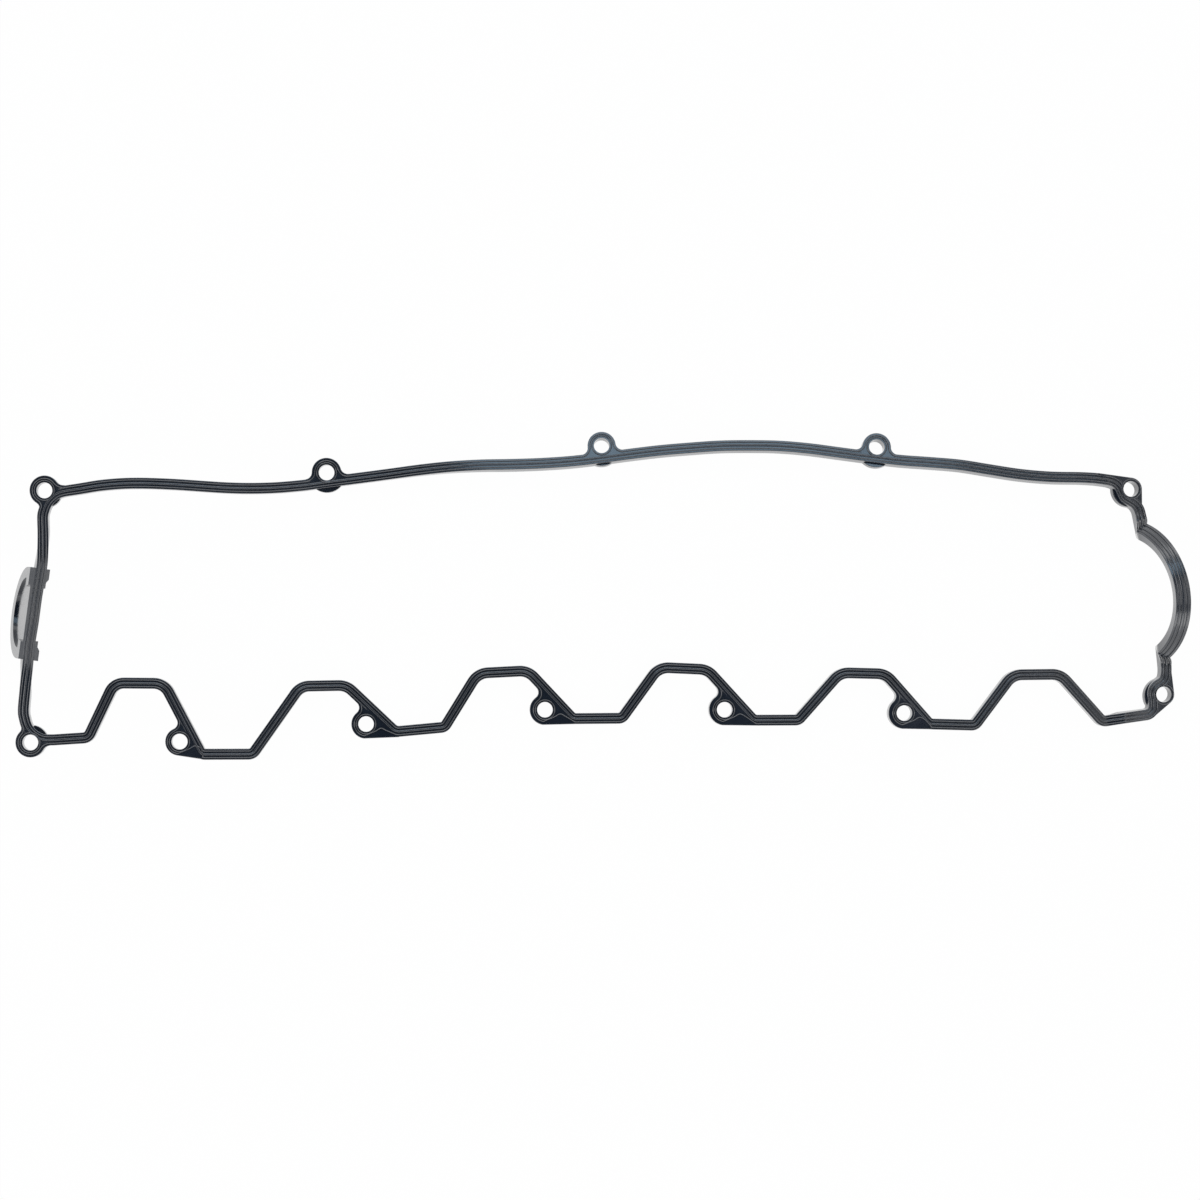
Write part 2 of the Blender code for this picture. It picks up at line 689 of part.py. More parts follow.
def cut_holes(body, stations):
    """Twelve bolt holes, each square to its own eyelet."""
    for hole in HOLES:
        station = nearest(stations, *hole)
        circle = ring_of(hole, HOLE_RADIUS)
        tool = prism("drill", circle, -3.0, FULL_HEIGHT + 3.0)
        lay_down(tool, station)
        combine(body, tool, "DIFFERENCE")


def add_ribs(body, stations, spans):
    """A thin rib round every hole, and the outer rib where it goes round an eyelet."""
    for hole in HOLES:
        station = nearest(stations, *hole)
        circle = ring_of(hole, RING_RIB_RADIUS)
        rows = path_rib_rows(circle, station, EDGE_RIB, True)
        combine(body, swept("ring", rows), "UNION")
    for first, last, path, hole in spans:
        rows = path_rib_rows(path, nearest(stations, *hole), EDGE_RIB, False)
        combine(body, swept("detour", rows, False), "UNION", "MANIFOLD")


def finish(body):
    """Lifts the left end, sets the origin and gives the rubber its material."""
    for vertex in body.data.vertices:
        vertex.co.z += lift_at(vertex.co.x)
        vertex.co *= MM
    low = [min(v.co[k] for v in body.data.vertices) for k in range(3)]
    high = [max(v.co[k] for v in body.data.vertices) for k in range(3)]
    shift = Vector(((low[0] + high[0]) / 2, (low[1] + high[1]) / 2, low[2]))
    body.data.transform(Matrix.Translation(-shift))
    bm = bmesh.new()
    bm.from_mesh(body.data)
    bmesh.ops.dissolve_limit(bm, angle_limit=math.radians(0.3), verts=bm.verts,
                             edges=bm.edges)
    bmesh.ops.triangulate(bm, faces=[f for f in bm.faces if len(f.verts) > 4])
    bm.to_mesh(body.data)
    bm.free()
    rubber = bpy.data.materials.new("rubber_black")
    rubber.use_nodes = True
    shader = rubber.node_tree.nodes["Principled BSDF"]
    shader.inputs["Base Color"].default_value = (0.012, 0.015, 0.02, 1)
    shader.inputs["Roughness"].default_value = 0.5
    body.data.materials.clear()
    body.data.materials.append(rubber)
    body.data.shade_smooth()
    body.data.set_sharp_from_angle(angle=math.radians(30))
    parts = bpy.data.collections.new("valve_cover_gasket")
    bpy.context.scene.collection.children.link(parts)
    bpy.context.scene.collection.objects.unlink(body)
    parts.objects.link(body)


finish(build())
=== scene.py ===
"""Dresses the packed valve cover gasket: fine rubber ring, its finish and a pale studio."""

import math
from types import SimpleNamespace

import bmesh
import bpy
from bpy.props import FloatProperty, FloatVectorProperty, PointerProperty
from mathutils import Matrix, Vector


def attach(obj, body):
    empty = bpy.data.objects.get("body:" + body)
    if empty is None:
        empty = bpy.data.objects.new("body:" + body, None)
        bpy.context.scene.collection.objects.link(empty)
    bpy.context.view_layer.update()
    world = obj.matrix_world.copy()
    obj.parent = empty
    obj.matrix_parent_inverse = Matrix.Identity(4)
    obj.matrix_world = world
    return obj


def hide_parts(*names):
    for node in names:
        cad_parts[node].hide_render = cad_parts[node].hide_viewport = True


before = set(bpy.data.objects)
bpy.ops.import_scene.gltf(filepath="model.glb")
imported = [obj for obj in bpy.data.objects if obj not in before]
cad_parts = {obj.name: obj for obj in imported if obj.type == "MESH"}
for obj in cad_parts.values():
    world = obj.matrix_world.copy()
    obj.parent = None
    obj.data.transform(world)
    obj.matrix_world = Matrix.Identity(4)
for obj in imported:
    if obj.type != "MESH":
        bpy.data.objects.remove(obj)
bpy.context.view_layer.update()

bl_info = {
    "name": "Valve cover gasket",
    "version": (1, 0, 0),
    "blender": (4, 5, 0),
    "location": "3D View > Sidebar > Gasket",
    "description": "Builds a moulded rubber valve cover gasket and its studio",
    "category": "Object",
}

MM = 0.001
FULL_TURN = math.tau

# Where the ring's own drawing origin lies in the shared frame, in millimetres
DRAWING_SHIFT = (2.923, -0.917, 0.0)

# Bolt hole centres, in millimetres from the drawing origin
HOLE_TL = (-276.9, 52.3)
HOLE_T1 = (-138.0, 62.7)
HOLE_T2 = (0.6, 76.7)
HOLE_T3 = (139.4, 75.9)
HOLE_TR = (267.7, 54.6)
HOLE_BR = (284.3, -49.1)
HOLE_B5 = (153.5, -58.5)
HOLE_B4 = (62.8, -56.8)
HOLE_B3 = (-27.9, -56.8)
HOLE_B2 = (-118.2, -64.0)
HOLE_B1 = (-210.5, -72.4)
HOLE_BL = (-283.9, -72.7)
HOLES = [HOLE_TL, HOLE_T1, HOLE_T2, HOLE_T3, HOLE_TR, HOLE_BR, HOLE_B5, HOLE_B4,
         HOLE_B3, HOLE_B2, HOLE_B1, HOLE_BL]

# Corners of the side that goes round the inlet ports: x, y and fillet radius
ZIGZAG = [
    (-272.4, -71.4, 3.0), (-255.3, -70.3, 4.0),
    (-242.5, -43.2, 7.5), (-218.1, -43.4, 8.5),
    (-199.9, -78.8, 3.0), (-174.7, -78.9, 4.0),
    (-151.0, -44.9, 8.5), (-128.1, -44.5, 9.5),
    (-103.4, -67.9, 5.0), (-78.6, -65.6, 3.5),
    (-61.8, -38.4, 9.5), (-36.5, -37.1, 9.5),
    (-13.8, -61.3, 4.0), (11.0, -61.1, 3.5),
    (29.6, -35.4, 9.5), (54.1, -36.5, 9.5),
    (77.5, -62.1, 4.0), (100.1, -62.0, 3.5),
    (121.2, -38.1, 9.5), (144.1, -38.7, 9.5),
    (166.3, -64.0, 4.0), (189.2, -64.6, 3.5),
    (208.2, -39.2, 9.5), (232.4, -38.9, 9.5),
    (253.6, -62.7, 3.5), (279.4, -58.9, 4.6),
    (279.2, -51.7, 0.0),
]

# Inner side of the lower right eyelet, then the short strip up to the arch
RIGHT_LOW = [(279.2, -51.7), (278.7, -49.1), (279.3, -46.6), (280.8, -44.7),
             (282.6, -43.6), (284.3, -42.1), (285.2, -40.0), (285.5, -37.0)]
SPRING_LOW = (285.4, -30.6)
SPRING_HIGH = (273.7, 36.6)
RIGHT_HIGH = [(272.7, 41.0), (271.8, 44.2), (269.9, 47.0), (267.0, 48.9),
              (264.6, 50.4), (263.2, 52.8), (262.0, 55.5), (259.8, 57.8),
              (256.8, 59.0), (253.4, 59.6)]

# Long gently waved strip, from the right end to the left end
TOP = [
    (249.4, 60.1), (241.9, 60.5), (226.7, 60.8), (211.6, 62.1), (196.5, 64.4),
    (181.3, 66.8), (166.2, 68.1), (151.1, 69.2), (136.0, 71.0), (120.8, 73.0),
    (105.7, 75.0), (90.6, 76.3), (75.4, 76.6), (60.3, 76.4), (45.2, 75.4),
    (30.0, 74.1), (14.9, 72.3), (-0.2, 70.3), (-15.4, 68.6), (-30.5, 67.6),
    (-45.6, 67.1), (-60.8, 66.8), (-75.9, 65.9), (-90.9, 64.3),
    (-107.0, 62.1), (-126.7, 59.4), (-139.0, 57.7), (-151.5, 55.9),
    (-167.5, 54.5), (-186.5, 54.3), (-214.3, 55.7), (-233.2, 56.0),
    (-247.5, 55.0), (-259.4, 53.1),
]

# Inner side of the upper left eyelet, then the left strip down to the last eyelet
LEFT = [
    (-266.0, 52.1), (-268.4, 51.6), (-270.9, 50.6), (-273.1, 49.0), (-274.9, 47.1),
    (-276.2, 45.0), (-277.1, 42.6), (-277.8, 39.3),
    (-277.6, 31.4), (-277.5, 22.2), (-277.8, 15.3), (-279.3, 6.0), (-280.6, -2.0),
    (-282.1, -13.0), (-283.9, -24.2), (-285.0, -35.0), (-286.3, -45.0),
    (-287.4, -56.6), (-286.7, -61.5), (-285.8, -64.4), (-284.4, -66.7), (-282.5, -68.7),
    (-280.0, -70.3), (-277.0, -71.3),
]
PLUG_CENTRE = (-282.1, -9.0)

# Eyelets of the port side with their radii, and those of the long strip
LOWER_LUGS = [(HOLE_B1, 7.0), (HOLE_B2, 7.4), (HOLE_B3, 7.7), (HOLE_B4, 7.9),
              (HOLE_B5, 8.0)]
UPPER_LUGS = [(HOLE_T1, 7.4), (HOLE_T2, 7.08), (HOLE_T3, 7.2)]

# Left corner eyelets: hole, radius, the outer edges that run up to it with their fillets,
# points inside the strip, reach and turn of the low inner flange
CORNER_LUGS = [
    (HOLE_TL, 7.4, (-259.4, 55.7, -267.2, 54.9, 4.2), (-280.6, 38.3, -279.4, 43.6, 2.8),
     [(-277.4, 41.5), (-276.2, 45.0), (-273.1, 49.0), (-268.4, 51.6)], 8.6, (-24, -72)),
    (HOLE_BL, 7.4, (-290.2, -56.6, -288.8, -63.6, 2.5), (-263.3, -73.65, -274.0, -74.2, 4.2),
     [(-272.4, -71.4), (-280.0, -70.3), (-282.5, -68.7), (-284.4, -66.7), (-286.2, -63.5)],
     8.7, (78, 22)),
]

# Right corner eyelets: hole, radius, points of the straight edges that run up to it, then
# centre, reach, turn and root of the low inner flange
END_LUGS = [
    (HOLE_TR, 5.8, [(273.4, 42.0), (266.0, 49.0), (262.0, 55.0), (251.0, 62.5)],
     (267.7, 54.6), 8.9, (172, 268), [(269.6, 47.2), (264.6, 50.4), (262.2, 55.8)]),
    (HOLE_BR, 5.5, [(280.4, -59.6), (279.6, -50.0), (283.0, -43.5), (288.3, -37.5)],
     (284.3, -49.9), 9.2, (112, 218), [(279.2, -54.0), (279.3, -46.6), (283.4, -43.0)]),
]

# Last bend of the outer rib between a port side eyelet and the trough, from the hole
RIB_BEND = [(4.4, -3.7), (7.6, -2.1), (10.4, -3.3)]

# Where the strip's roll begins and changes, in millimetres of the drawing
LEFT_STRIP = -255.0
PLUG_ROLL_FADE = (22.0, 42.0)
LONG_STRIP = 45.0
RIGHT_STRIPS = 262.0
RIGHT_FADE = (255.0, 275.0)
ROLL_FADE = (-110.0, -40.0)
# From the middle of a rolled strip to the outer edge on which its eyelets stand
ROLL_REACH = 13.5

# Spacing of the sections on straight runs, on curves and close to the arch
RUN_STEP = 4.0
CURVE_STEP = 1.6
FINE_STEP = 0.8
# How far before a springing the soft bend turns upwards
BEND_BACK = 1.6

# Low inner flange of an eyelet on the long strip: drop of its centre, reach and turn
STRIP_FLANGE = (0.6, 9.4, 218, 322)
# Gap under a plate, depth of its root in the strip, and the rounding of its rims
PLATE_LOW = 0.1
FLANGE_LOW = 0.2
PLATE_ROOT = 2.2
PLATE_ROUND = 0.3
FLANGE_ROUND = 0.25
# How far a cutting tool stands out past what it cuts
CUT_PAST = 3.0

# Points closer than this are one point
MERGE = 0.0005

# Gloss of the rubber and of the mould's polish on it, and the mould's fine grain
RUBBER_IOR = 1.8
POLISH = 0.75
POLISH_ROUGHNESS = 0.12
GRAIN_BUMP = 0.18

# Share of the floor that is plain white to the camera and in reflections
FLOOR_WHITE = 0.98
# Heights on the light tent, from 0 at the horizon to 1 overhead, where it turns dark
TENT_BRIGHT = 0.5
TENT_DARK = 0.92


def size(label, about, millimetres):
    """A length that a user may change."""
    return FloatProperty(name=label, description=about, default=millimetres * MM,
                         unit="LENGTH", subtype="DISTANCE", precision=5)


def turn(label, about, degrees):
    """An angle that a user may change."""
    return FloatProperty(name=label, description=about, default=math.radians(degrees),
                         unit="ROTATION", subtype="ANGLE")


def share(label, about, value, top=1.0):
    """A plain number that a user may change."""
    return FloatProperty(name=label, description=about, default=value, min=0.0, max=top)


def linear(code):
    """Linear colour of an sRGB hex value."""
    made = []
    for k in (0, 2, 4):
        c = int(code[k:k + 2], 16) / 255
        made.append(c / 12.92 if c <= 0.04045 else ((c + 0.055) / 1.055) ** 2.4)
    return tuple(made) + (1.0,)


def tint(label, about, code):
    """A colour that a user may change."""
    return FloatVectorProperty(name=label, description=about, default=linear(code), size=4,
                               subtype="COLOR", min=0.0, max=1.0)


class StripSizes(bpy.types.PropertyGroup):
    """Section of the sealing strip."""

    width: size("Width", "Width of the strip", 5.5)
    land: size("Land height", "Height of the land between the ribs", 5.7)
    rise: size("Rib rise", "Height of the ribs over the land", 0.6)
    root: size("Rib root", "Depth to which a loose rib is sunk into the land", 0.3)
    centre: size("Centre rib", "Width of the centre rib", 1.25)
    edge: size("Edge rib", "Width of a thin edge rib", 0.6)
    offset: size("Edge rib offset", "Distance of an edge rib from the middle", 1.6)
    round: size("Edge radius", "Radius of the strip's outer edges", 0.35)


class EyeletSizes(bpy.types.PropertyGroup):
    """Bolt eyelets."""

    hole: size("Hole radius", "Radius of a bolt hole", 3.92)
    ring: size("Ring rib radius", "Radius of the rib round a hole", 4.95)
    detour: size("Detour radius", "Radius of the outer rib's way round a hole", 5.9)
    notch: size("Notch fillet", "Fillet between a run and its eyelet", 3.3)
    flare: size("Flare", "Fillet between the long strip and its eyelet", 3.6)
    flange: size("Flange height", "Height of the low inner flange", 3.4)
    step: size("Step", "Step between an eyelet's plate and the land", 0.02)
    lip: size("Hole lip", "Rounding of a hole's rim", 0.2)


class ArchSizes(bpy.types.PropertyGroup):
    """Arch over the camshaft seal."""

    radius: size("Radius", "Radius of the arch", 36.9)
    lean: turn("Lean", "Lean of the arch outwards", 29.0)
    cone: turn("Cone", "Cone angle of the ribbed face", 29.0)
    drop: size("Drop", "Depth of the arch's centre under the strip", 9.6)
    setback: size("Setback", "Distance of the centre behind the springings", 5.0)
    foot: size("Foot", "Distance of the arch's feet from its middle", 33.2)
    width: size("Width", "Width of the strip on the arch", 7.5)
    heel: size("Heel", "Length of the sharp heel under a springing", 6.0)
    bend: size("Bend", "Reach of the soft bend before a springing", 5.0)


class PlugSizes(bpy.types.PropertyGroup):
    """Half-moon plug."""

    radius: size("Radius", "Radius of the half-moon", 22.9)
    band: size("Band", "Thickness of the round band", 5.4)
    outer: size("Outer reach", "Reach of the band to the outside", 4.6)
    inner: size("Inner reach", "Reach of the band to the inside", 5.4)
    lean: turn("Lean", "Lean of the plug outwards", 22.0)
    tilt: turn("Chord tilt", "Turn of the plug in plan", 7.6)
    web_outer: size("Web outer face", "Outer face of the web", 3.4)
    web_inner: size("Web inner face", "Inner face of the web", 2.0)
    shoulder: size("Shoulder", "Width of a shoulder", 8.4)
    slope: size("Shoulder slope", "Overhang of a shoulder's inner end", 1.3)
    taper: size("Shoulder taper", "Taper of a shoulder's inner side", 3.5)
    foot: size("Shoulder foot", "Height of the square foot under the taper", 0.4)


class LieSizes(bpy.types.PropertyGroup):
    """Lie of the soft ring."""

    top_roll: turn("Long strip roll", "Roll of the long strip outwards", 9.0)
    right_roll: turn("Right strip roll", "Roll of the right strips outwards", 5.0)
    plateau: size("Plateau", "Where the left end has its full lift", -262.0)
    end: size("Ramp end", "Where the ring comes down to the floor", -100.0)
    lift: size("Lift", "Lift of the left end", 23.4)


class RubberLook(bpy.types.PropertyGroup):
    """Finish of the moulded rubber."""

    black: tint("Black", "Body colour of the rubber", "151d29")
    bloom: tint("Bloom", "Faint dusty bloom on the rubber", "202a38")
    bloom_share: share("Bloom share", "How much bloom lies on the surface", 0.35)
    rough_low: share("Smooth places", "Roughness where the mould was polished", 0.17)
    rough_high: share("Dull places", "Roughness where the surface is dusty", 0.27)


class StudioLook(bpy.types.PropertyGroup):
    """Floor, light and camera."""

    floor: tint("Floor", "Colour of the floor", "f4f4f4")
    height: size("Camera height", "Height of the camera over the ribs", 1305.0)
    field: size("Field", "Width of the picture at the ribs", 605.3)
    nadir_x: size("Camera X", "Place of the camera along the ring", -72.94)
    nadir_y: size("Camera Y", "Place of the camera across the ring", -37.75)
    middle_x: size("Middle X", "Middle of the picture along the ring", 2.74)
    middle_y: size("Middle Y", "Middle of the picture across the ring", -2.35)
    key: share("Key", "Brightness of the bluish key light behind the ring", 2.1, 99.0)
    edge: share("Edge lights", "Brightness of the narrow lights at the sides", 1.5, 99.0)
    fill: share("Fill", "Brightness of the narrow light over the arch", 1.1, 99.0)
    tent: share("Tent", "Brightness of the light tent's sides", 0.9, 9.0)
    world: share("Zenith", "Brightness of the light tent's dark top", 0.02, 2.0)


def sizes_of(group):
    """A property group's values, with the lengths in millimetres."""
    made = SimpleNamespace()
    for prop in group.bl_rna.properties:
        if prop.identifier in ("rna_type", "name"):
            continue
        value = getattr(group, prop.identifier)
        if prop.unit == "LENGTH":
            value = value / MM
        setattr(made, prop.identifier, value)
    return made


def all_sizes(scene):
    """Sizes of every part of the gasket, and the height over its ribs."""
    made = SimpleNamespace(
        strip=sizes_of(scene.gasket_strip), eyelet=sizes_of(scene.gasket_eyelets),
        arch=sizes_of(scene.gasket_arch), plug=sizes_of(scene.gasket_plug),
        lie=sizes_of(scene.gasket_lie))
    made.full = made.strip.land + made.strip.rise
    return made


def unit(x, y):
    """Direction of a plan vector."""
    length = math.hypot(x, y)
    return x / length, y / length


def ease(value, low, high):
    """Soft step from 0 at low to 1 at high."""
    t = max(0.0, min(1.0, (value - low) / (high - low)))
    return t * t * (3 - 2 * t)


def arc(cx, cy, radius, start, end, steps):
    """Points on a plan arc, angles in degrees."""
    points = []
    for k in range(steps + 1):
        angle = math.radians(start + (end - start) * k / steps)
        points.append((cx + radius * math.cos(angle), cy + radius * math.sin(angle)))
    return points


def rounded(corners, spacing):
    """Plan path through the corners, each turned into an arc of its own radius."""
    path = [corners[0][:2]]
    for before, here, after in zip(corners, corners[1:], corners[2:]):
        ax, ay = unit(before[0] - here[0], before[1] - here[1])
        bx, by = unit(after[0] - here[0], after[1] - here[1])
        half = math.acos(max(-1.0, min(1.0, ax * bx + ay * by))) / 2
        reach = here[2] / math.tan(half)
        mx, my = unit(ax + bx, ay + by)
        cx = here[0] + mx * here[2] / math.sin(half)
        cy = here[1] + my * here[2] / math.sin(half)
        start = math.atan2(here[1] + ay * reach - cy, here[0] + ax * reach - cx)
        end = math.atan2(here[1] + by * reach - cy, here[0] + bx * reach - cx)
        swing = (end - start + math.pi) % FULL_TURN - math.pi
        steps = max(4, round(abs(swing) / math.radians(6)))
        first = (cx + here[2] * math.cos(start), cy + here[2] * math.sin(start))
        path += between(path[-1], first, spacing)
        for step in range(steps + 1):
            angle = start + swing * step / steps
            path.append((cx + here[2] * math.cos(angle), cy + here[2] * math.sin(angle)))
    path += between(path[-1], corners[-1][:2], spacing)
    path.append(corners[-1][:2])
    return path


def between(a, b, spacing):
    """Points inside a straight run, no further apart than the spacing."""
    count = max(1, math.ceil(math.hypot(b[0] - a[0], b[1] - a[1]) / spacing))
    return [(a[0] + (b[0] - a[0]) * k / count, a[1] + (b[1] - a[1]) * k / count)
            for k in range(1, count)]


def smooth(points, spacing):
    """Curve that runs through every plan point."""
    path = []
    for k in range(len(points) - 1):
        a = points[max(k - 1, 0)]
        b = points[k]
        c = points[k + 1]
        d = points[min(k + 2, len(points) - 1)]
        steps = max(1, math.ceil(math.hypot(c[0] - b[0], c[1] - b[1]) / spacing))
        for step in range(steps):
            t = step / steps
            path.append(tuple(
                0.5 * (2 * q + (r - p) * t + (2 * p - 5 * q + 4 * r - s) * t * t
                       + (3 * q - p - 3 * r + s) * t * t * t)
                for p, q, r, s in zip(a, b, c, d)))
    path.append(points[-1])
    return path


def hull(points):
    """Convex outline round plan points."""
    ordered = sorted(set(points))
    chains = []
    for run in (ordered, ordered[::-1]):
        chain = []
        for p in run:
            while len(chain) > 1:
                a = chain[-2]
                b = chain[-1]
                if (b[0] - a[0]) * (p[1] - a[1]) - (b[1] - a[1]) * (p[0] - a[0]) > 0:
                    break
                chain.pop()
            chain.append(p)
        chains.append(chain[:-1])
    return chains[0] + chains[1]


class Station:
    """One section of the strip: its underside, its top, its outward direction and width."""

    def __init__(self, bottom, top, out, full, scale=1.0, low_out=None):
        self.bottom = Vector(bottom)
        self.top = Vector(top)
        self.out = Vector(out)
        self.full = full
        self.scale = scale
        self.low_out = low_out or self.out * scale

    def at(self, offset, height):
        low = self.bottom + self.low_out * offset
        high = self.top + self.out * offset * self.scale
        return low.lerp(high, height / self.full)


def roll_at(g, x, y):
    """Roll of the strip in radians, positive where its top looks outwards."""
    if x < LEFT_STRIP:
        near = 1 - ease(abs(y - PLUG_CENTRE[1]), *PLUG_ROLL_FADE)
        return -g.plug.lean * near
    if y > LONG_STRIP or x > RIGHT_STRIPS:
        side = ease(x, *RIGHT_FADE)
        full = g.lie.top_roll * (1 - side) + g.lie.right_roll * side
        return full * ease(x, *ROLL_FADE)
    return 0.0


def flat_station(g, x, y, tx, ty):
    """Section of the flat part of the ring, with its roll."""
    roll = roll_at(g, x, y)
    raised = ROLL_REACH * math.sin(max(roll, 0.0))
    normal = Vector((ty, -tx, 0))
    up = Vector((0, 0, 1)) * math.cos(roll) + normal * math.sin(roll)
    out = normal * math.cos(roll) - Vector((0, 0, 1)) * math.sin(roll)
    top = Vector((x, y, g.full * math.cos(roll) + raised))
    return Station(top - up * g.full, top, out, g.full)


def stations_on(g, path):
    """Sections along an open plan path."""
    made = []
    for k, (x, y) in enumerate(path):
        a = path[max(k - 1, 0)]
        b = path[min(k + 1, len(path) - 1)]
        tx, ty = unit(b[0] - a[0], b[1] - a[1])
        made.append(flat_station(g, x, y, tx, ty))
    return made


def arch_stations(g, steps=64):
    """Sections of the arch, which rises, leans outwards and has a conical ribbed face."""
    low = Vector((*SPRING_LOW, 0))
    high = Vector((*SPRING_HIGH, 0))
    along = (high - low).normalized()
    side = Vector((along.y, -along.x, 0))
    base = flat_station(g, *SPRING_LOW, along.x, along.y).top.z
    lean = g.arch.lean
    cone = g.arch.cone
    rise = Vector((0, 0, 1))
    crown = side * math.sin(lean) + rise * math.cos(lean)
    axle = side * math.cos(lean) - rise * math.sin(lean)
    middle = (low + high) / 2
    middle.z = base
    centre = middle - crown * (g.arch.drop / math.cos(lean)) - side * g.arch.setback
    half = math.asin(min(1.0, g.arch.foot / g.arch.radius))
    made = []
    for step in range(steps + 1):
        angle = half * (2 * step / steps - 1)
        radial = crown * math.cos(angle) + along * math.sin(angle)
        out = axle * math.cos(cone) + radial * math.sin(cone)
        up = radial * math.cos(cone) - axle * math.sin(cone)
        top = centre + radial * g.arch.radius
        made.append(Station(top - up * g.full, top, out, g.full,
                            g.arch.width / g.strip.width))
    return made, along


def springing(g, flat, spring, arch, along):
    """Mitre between strip and arch: a sharp heel below and a soft bend above."""
    tip = spring.bottom + along * g.arch.heel
    corner = spring.top - along * BEND_BACK
    bend = []
    for step in range(1, 12):
        part = step / 12
        top = flat.top.lerp(corner, part).lerp(corner.lerp(arch.top, part), part)
        out = flat.out.lerp(arch.out, part).normalized()
        scale = 1 + (arch.scale - 1) * part
        bend.append(Station(tip, top, out, g.full, scale, flat.out))
    return bend


def ring_stations(g):
    """All sections of the closed ring, counter-clockwise seen from above."""
    low = smooth(RIGHT_LOW + [SPRING_LOW], FINE_STEP)
    high = smooth([SPRING_HIGH] + RIGHT_HIGH + TOP[:1], FINE_STEP)
    high += smooth(TOP + LEFT + [ZIGZAG[0][:2]], CURVE_STEP)[1:]
    first = stations_on(g, rounded(ZIGZAG, RUN_STEP)[:-1] + low)
    last = stations_on(g, high[:-1])
    low_end = first[-1]
    high_end = last[0]
    first = [s for s in first if (s.top - low_end.top).length > g.arch.bend]
    last = [s for s in last if (s.top - high_end.top).length > g.arch.bend]
    arch, along = arch_stations(g)
    start = springing(g, first[-1], low_end, arch[0], along)
    end = springing(g, last[0], high_end, arch[-1], -along)
    return first + start + arch + end[::-1] + last


def nearest(stations, x, y):
    """Section closest in plan to a point."""
    return min(stations, key=lambda s: (s.top.x - x) ** 2 + (s.top.y - y) ** 2)


def laid(station, x, y, height):
    """Carries a flat plan point and height to the rolled place of its section."""
    out = Vector((station.out.x, station.out.y, 0)).normalized()
    along = Vector((-out.y, out.x, 0))
    shift = Vector((x - station.top.x, y - station.top.y, 0))
    up = (station.top - station.bottom) / station.full
    place = station.bottom + up * height
    return place + station.out * shift.dot(out) + along * shift.dot(along)


def rib(g, offset, width, rise, steps):
    """One rounded rib of the section, from its outer foot to its inner foot."""
    points = []
    for k in range(steps + 1):
        angle = math.pi * k / steps
        lean = math.cos(angle)
        points.append((offset + width / 2 * lean,
                       g.strip.land + rise * math.sin(angle) ** 0.8))
    return points


def section(g, outer_rise):
    """Strip section with rounded edges and its three ribs, from the inner bottom corner."""
    half = g.strip.width / 2
    r = g.strip.round
    land = g.strip.land
    points = arc(-half + r, r, r, 180, 270, 3) + arc(half - r, r, r, -90, 0, 3)
    points += arc(half - r, land - r, r, 0, 90, 4)
    points += rib(g, g.strip.offset, g.strip.edge, outer_rise, 6)
    points += rib(g, 0.0, g.strip.centre, g.strip.rise, 10)
    points += rib(g, -g.strip.offset, g.strip.edge, g.strip.rise, 6)
    points += arc(-half + r, land - r, r, 90, 180, 4)
    return points


def sweep(rows, closed):
    """Extrudes a section from row to row of places, and closes it."""
    bm = bmesh.new()
    mark = bm.verts.layers.int.new("place")
    first = []
    for k, point in enumerate(rows[0]):
        first.append(bm.verts.new(point))
        first[-1][mark] = k
    edges = [bm.edges.new((first[k - 1], first[k])) for k in range(len(first))]
    start = list(edges)
    for row in rows[1:] + (rows[:1] if closed else []):
        grown = bmesh.ops.extrude_edge_only(bm, edges=edges)["geom"]
        for item in grown:
            if isinstance(item, bmesh.types.BMVert):
                item.co = row[item[mark]]
        edges = [item for item in grown if isinstance(item, bmesh.types.BMEdge)]
    if closed:
        bmesh.ops.remove_doubles(bm, verts=bm.verts, dist=MERGE)
    else:
        bmesh.ops.edgeloop_fill(bm, edges=start)
        bmesh.ops.edgeloop_fill(bm, edges=edges)
    bmesh.ops.dissolve_degenerate(bm, edges=bm.edges, dist=MERGE)
    return bm


def mesh_object(name, bm):
    """Closed mesh object with outward faces."""
    bmesh.ops.recalc_face_normals(bm, faces=bm.faces)
    mesh = bpy.data.meshes.new(name)
    bm.to_mesh(mesh)
    bm.free()
    made = bpy.data.objects.new(name, mesh)
    bpy.context.scene.collection.objects.link(made)
    return made


def plate(name, outline, low, high, round_top=0.0, round_low=0.0):
    """Plate with a plan outline between two heights, its rims rounded."""
    bm = bmesh.new()
    base = bm.faces.new([bm.verts.new((x, y, low)) for x, y in outline])
    grown = bmesh.ops.extrude_face_region(bm, geom=[base])["geom"]
    rise = [item for item in grown if isinstance(item, bmesh.types.BMVert)]
    bmesh.ops.translate(bm, verts=rise, vec=(0, 0, high - low))
    for level, reach in ((high, round_top), (low, round_low)):
        if reach:
            rim = [e for e in bm.edges if all(abs(v.co.z - level) < 1e-4 for v in e.verts)]
            bmesh.ops.bevel(bm, geom=rim, offset=reach, offset_type="OFFSET", segments=3,
                            profile=0.5, affect="EDGES", material=-1, clamp_overlap=True)
    return mesh_object(name, bm)


def join(target, tool, operation, solver="MANIFOLD"):
    """Boolean of two solids, keeping the first."""
    step = target.modifiers.new("Join", "BOOLEAN")
    step.operation = operation
    step.solver = solver
    step.object = tool
    graph = bpy.context.evaluated_depsgraph_get()
    result = bpy.data.meshes.new_from_object(target.evaluated_get(graph))
    target.modifiers.remove(step)
    old = target.data
    if not result.polygons:
        raise RuntimeError("the join with " + tool.name + " left nothing")
    target.data = result
    bpy.data.meshes.remove(old)
    bpy.data.objects.remove(tool, do_unlink=True)


